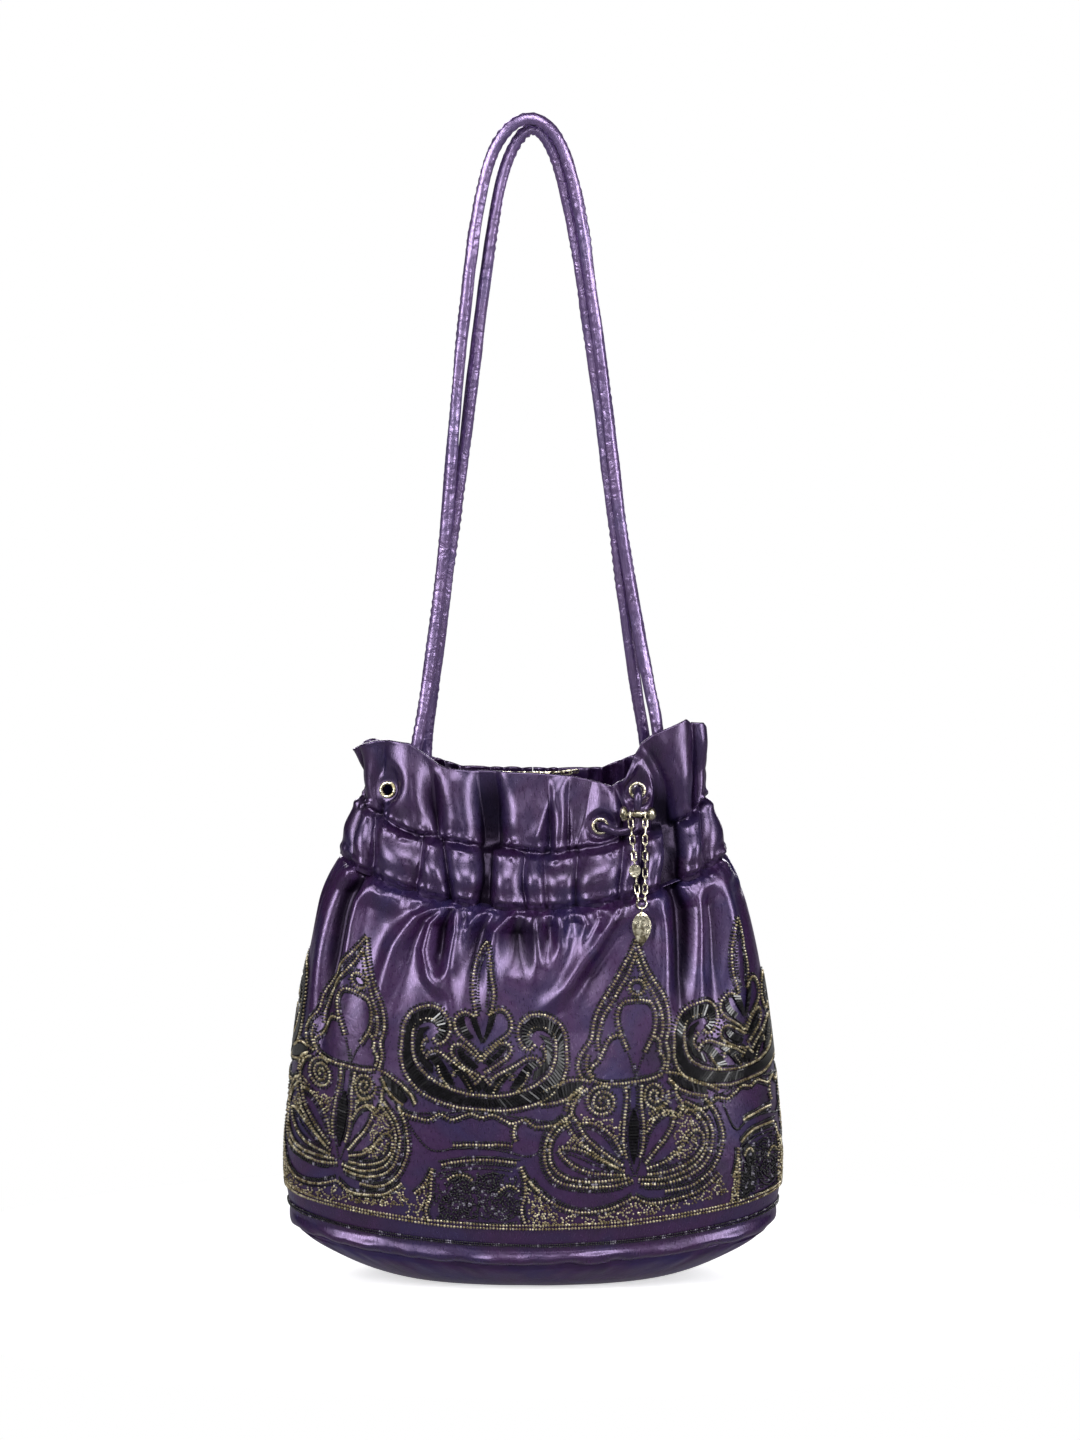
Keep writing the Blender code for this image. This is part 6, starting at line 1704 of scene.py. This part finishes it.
class POTLI_OT_base(bpy.types.Operator):
    """Make the boat-shaped satin base"""
    bl_idname = "potli.base"
    bl_label = "Satin Base"

    def execute(self, context):
        material = satin_material("base_satin", "#160A2B", "#20113C", "#1C1745", "#2B113B", 0.40, 0.10, 1.7, 0.3)

        def shape(across, share, _):
            place = (across - 0.5) * ROUND
            angle = np.interp(place, PLACES, ANGLES)
            radius = oval(angle)
            rise = np.clip(share, 0, 1)
            size = np.where(share < 0, 1 + share, 1)
            width = (FLAT_HALF_WIDTH + (HALF_WIDTHS[0] - FLAT_HALF_WIDTH) * rise) * size
            depth = (FLAT_HALF_DEPTH + (HALF_DEPTHS[0] - FLAT_HALF_DEPTH) * rise) * size
            height = (HEIGHTS[0] + LEFT_RISES[0] * np.cos(angle) ** 2) * rise ** 2
            wrinkle = 0.0007 * soft_noise(place, share, 30, 5) * rise
            pucker = seam_puckers(place, 8, 0.023, 0.0016) * np.exp(-((share - 0.86) / 0.12) ** 2)
            pucker = pucker - 0.0012 * np.exp(-((share - 1.0) / 0.05) ** 2)
            tuck = np.where(share > 1, 0.02 * (share - 1), 0)
            points = np.stack((
                (width + pucker - tuck) * radius * np.cos(angle),
                (depth + pucker - tuck) * radius * np.sin(angle),
                height + wrinkle * (rise > 0.05) + np.where(share > 1, 0.03 * (share - 1), 0),
            ), axis=-1)
            return points, np.stack((place, share * 0.05), axis=-1)

        rows = spread((-1.0, 0), (0.0, 6), (0.8, 18), (1.0, 12), (1.08, 3))
        bm = wrap_grid("satin_base", 300, rows, shape)
        bmesh.ops.remove_doubles(bm, verts=[vert for vert in bm.verts if vert.co.xy.length < 1e-5], dist=1e-4)
        bmesh.ops.recalc_face_normals(bm, faces=bm.faces)
        base = piece_from(bm, "satin_base", material)
        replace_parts(base, "base_panel")
        return {"FINISHED"}


class POTLI_OT_lining(bpy.types.Operator):
    """Make the plain inner bag"""
    bl_idname = "potli.lining"
    bl_label = "Lining"

    def execute(self, context):
        def shape(across, level, _):
            place = (across - 0.5) * ROUND
            wave = 0.0012 * soft_noise(place, level, 40, 6)
            bottom = np.clip(level, 0, None)
            points = loft(place, bottom, -0.0092 + wave)
            dish = np.clip(1 + level, 0, 1)
            points[:, 0] *= np.where(level < 0, dish, 1)
            points[:, 1] *= np.where(level < 0, dish, 1)
            points[:, 2] = np.where(level < 0, 0.0055 + (points[:, 2] - 0.0055) * dish ** 2, points[:, 2])
            return points, np.stack((place, station(HEIGHTS, bottom) + np.minimum(level, 0) * 0.06), axis=-1)

        rows = spread((-1.0, 0), (0.0, 10), (5.75, 40))
        bm = wrap_grid("inner_lining", 160, rows, shape)
        bmesh.ops.remove_doubles(bm, verts=[vert for vert in bm.verts if vert.co.xy.length < 1e-5], dist=1e-4)
        bmesh.ops.recalc_face_normals(bm, faces=bm.faces)
        bmesh.ops.reverse_faces(bm, faces=bm.faces)
        lining = piece_from(bm, "inner_lining", lining_material(context.scene.potli))
        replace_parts(lining, "lining")
        return {"FINISHED"}


class POTLI_OT_motifs(bpy.types.Operator):
    """Sew the beaded spires and crowns round the body"""
    bl_idname = "potli.motifs"
    bl_label = "Beaded Motifs"

    def execute(self, context):
        settings = context.scene.potli
        gold = bead_material("gold_seed_beads", ("#5E5239", "#94876A", "#D6CCB0"), (0.0, 0.5, 1.0), 0.85, 0.31)
        # Painted highlight: the lightest of the black beads are tinted grey, standing in for glints on shiny black
        # glass
        black = bead_material("black_seed_beads", ("#040305", "#0B0A0D", "#7C7884"), (0.0, 0.88, 1.0), 0.0, 0.12)
        bugle = bead_material("black_bugles", ("#070608", "#0B0A0D", "#131116"), (0.0, 0.6, 1.0), 0.0, 0.20, 0.4)
        for number, (kind, place, left, right, lean, tall) in enumerate(MOTIFS, 1):
            random = np.random.RandomState(100 + number)
            drawing = SPIRE if kind == "spire" else CROWN
            rows = motif_rows(drawing, place, left, right, lean, tall, settings, random)
            strew(f"{kind}_{number}_gold", "seed", rows["gold"], gold, settings, 0.0006)
            strew(f"{kind}_{number}_black", "outline", rows["black"], black, settings, 0.0004)
            strew(f"{kind}_{number}_bugle", "bugle", rows["bugle"], bugle, settings, 0.0006)
        self.rails(settings, gold, black)
        return {"FINISHED"}

    def rails(self, settings, gold, black):
        """Straight rows that run all the way round above the base."""
        random = np.random.RandomState(7)
        for name, ups, material, slot, pitch in (
            ("lower_rail", (RAIL_HEIGHT, RAIL_HEIGHT + 0.0018), gold, "pale_brass", settings.bead_pitch),
            ("base_bead_rows", (BASE_CORD_HEIGHT, BASE_CORD_HEIGHT + 0.0011), black, "black_beads", 0.0012),
        ):
            rows = []
            for up in ups:
                count = int(ROUND / pitch)
                place = (np.arange(count) + 0.5) * ROUND / count - ROUND / 2
                wave = 0.0005 * np.array([noise.noise((spot * 40, up * 900, 2.0)) for spot in place.tolist()])
                size = pitch * random.uniform(0.88, 1.05, count)
                rows.append((np.stack((place, up + wave), axis=-1), np.tile((1.0, 0.0), (count, 1)),
                             np.stack((size * 0.86, size, size), axis=-1)))
            piece = strew(name, "seed", rows, material, settings, 0.0006)
            if name == "base_bead_rows":
                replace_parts(piece, "base_bead_cord")


class POTLI_OT_metal(bpy.types.Operator):
    """Finish the eyelets, the chains and the leaves in pale brass"""
    bl_idname = "potli.metal"
    bl_label = "Metal Parts"

    def execute(self, context):
        brass = brass_material("cast_pale_brass", "#DAD3BC", "#575041", 0.22)
        steel = brass_material("plated_eyelet", "#E4DCC4", "#8F8568", 0.16)
        for name in METAL_NODES:
            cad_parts[name].data.materials.clear()
            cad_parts[name].data.materials.append(brass)
        for name, (centre, axis) in zip(EYELET_NODES, eyelet_seats()):
            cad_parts[name].data.materials.clear()
            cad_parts[name].data.materials.append(steel)
            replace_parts(self.eyelet(name, Vector(centre), Vector(axis), steel), name)
        self.bow_ends(brass)
        return {"FINISHED"}

    def bow_ends(self, material):
        """Cast knobs on the ends of the charm's bar and the swell between its strands."""
        low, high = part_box("charm_bow")
        along = Vector((low.x, low.y + BOW_BAR_DEPTH, (low.z + high.z) / 2))
        bm = bmesh.new()
        for share, size in BOW_SWELLS:
            place = along + Vector(((high.x - low.x) * share, 0, 0))
            bmesh.ops.create_uvsphere(bm, u_segments=20, v_segments=12, radius=0.5,
                                      matrix=Matrix.Translation(place) @ Matrix.Diagonal((*size, 1)))
        piece_from(bm, "bow_ends", material)

    def eyelet(self, name, centre, axis, material):
        """Rolled ring on both faces of the cloth and the barrel between them."""
        bm = bmesh.new()
        verts = [bm.verts.new((radius, 0, up)) for radius, up in EYELET_PROFILE]
        edges = [bm.edges.new((one, two)) for one, two in zip(verts, verts[1:] + verts[:1])]
        bmesh.ops.spin(bm, geom=verts + edges, cent=(0, 0, 0), axis=(0, 0, 1), angle=2 * math.pi, steps=40,
                       use_merge=True)
        bmesh.ops.remove_doubles(bm, verts=bm.verts, dist=1e-6)
        bmesh.ops.recalc_face_normals(bm, faces=bm.faces)
        bmesh.ops.transform(bm, matrix=Matrix.Translation(centre) @ axis.to_track_quat("Z", "Y").to_matrix().to_4x4(),
                            verts=bm.verts)
        return piece_from(bm, f"ring_{name}", material)


class POTLI_PT_panel(bpy.types.Panel):
    bl_label = "Potli Bag"
    bl_idname = "POTLI_PT_panel"
    bl_space_type = "VIEW_3D"
    bl_region_type = "UI"
    bl_category = "Potli Bag"

    def draw(self, context):
        for name in PotliSettings.__annotations__:
            self.layout.prop(context.scene.potli, name)
        for step in STEPS:
            self.layout.operator(step.bl_idname)


STEPS = (
    POTLI_OT_stage, POTLI_OT_strap, POTLI_OT_body, POTLI_OT_neck, POTLI_OT_base, POTLI_OT_lining,
    POTLI_OT_motifs, POTLI_OT_metal,
)
CLASSES = (PotliSettings, *STEPS, POTLI_PT_panel)


def register():
    for cls in CLASSES:
        bpy.utils.register_class(cls)
    bpy.types.Scene.potli = bpy.props.PointerProperty(type=PotliSettings)


def unregister():
    del bpy.types.Scene.potli
    for cls in reversed(CLASSES):
        bpy.utils.unregister_class(cls)


def main():
    register()
    for step in STEPS:
        group, operator = step.bl_idname.split(".")
        getattr(getattr(bpy.ops, group), operator)()
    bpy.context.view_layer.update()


if __name__ == "__main__":
    main()
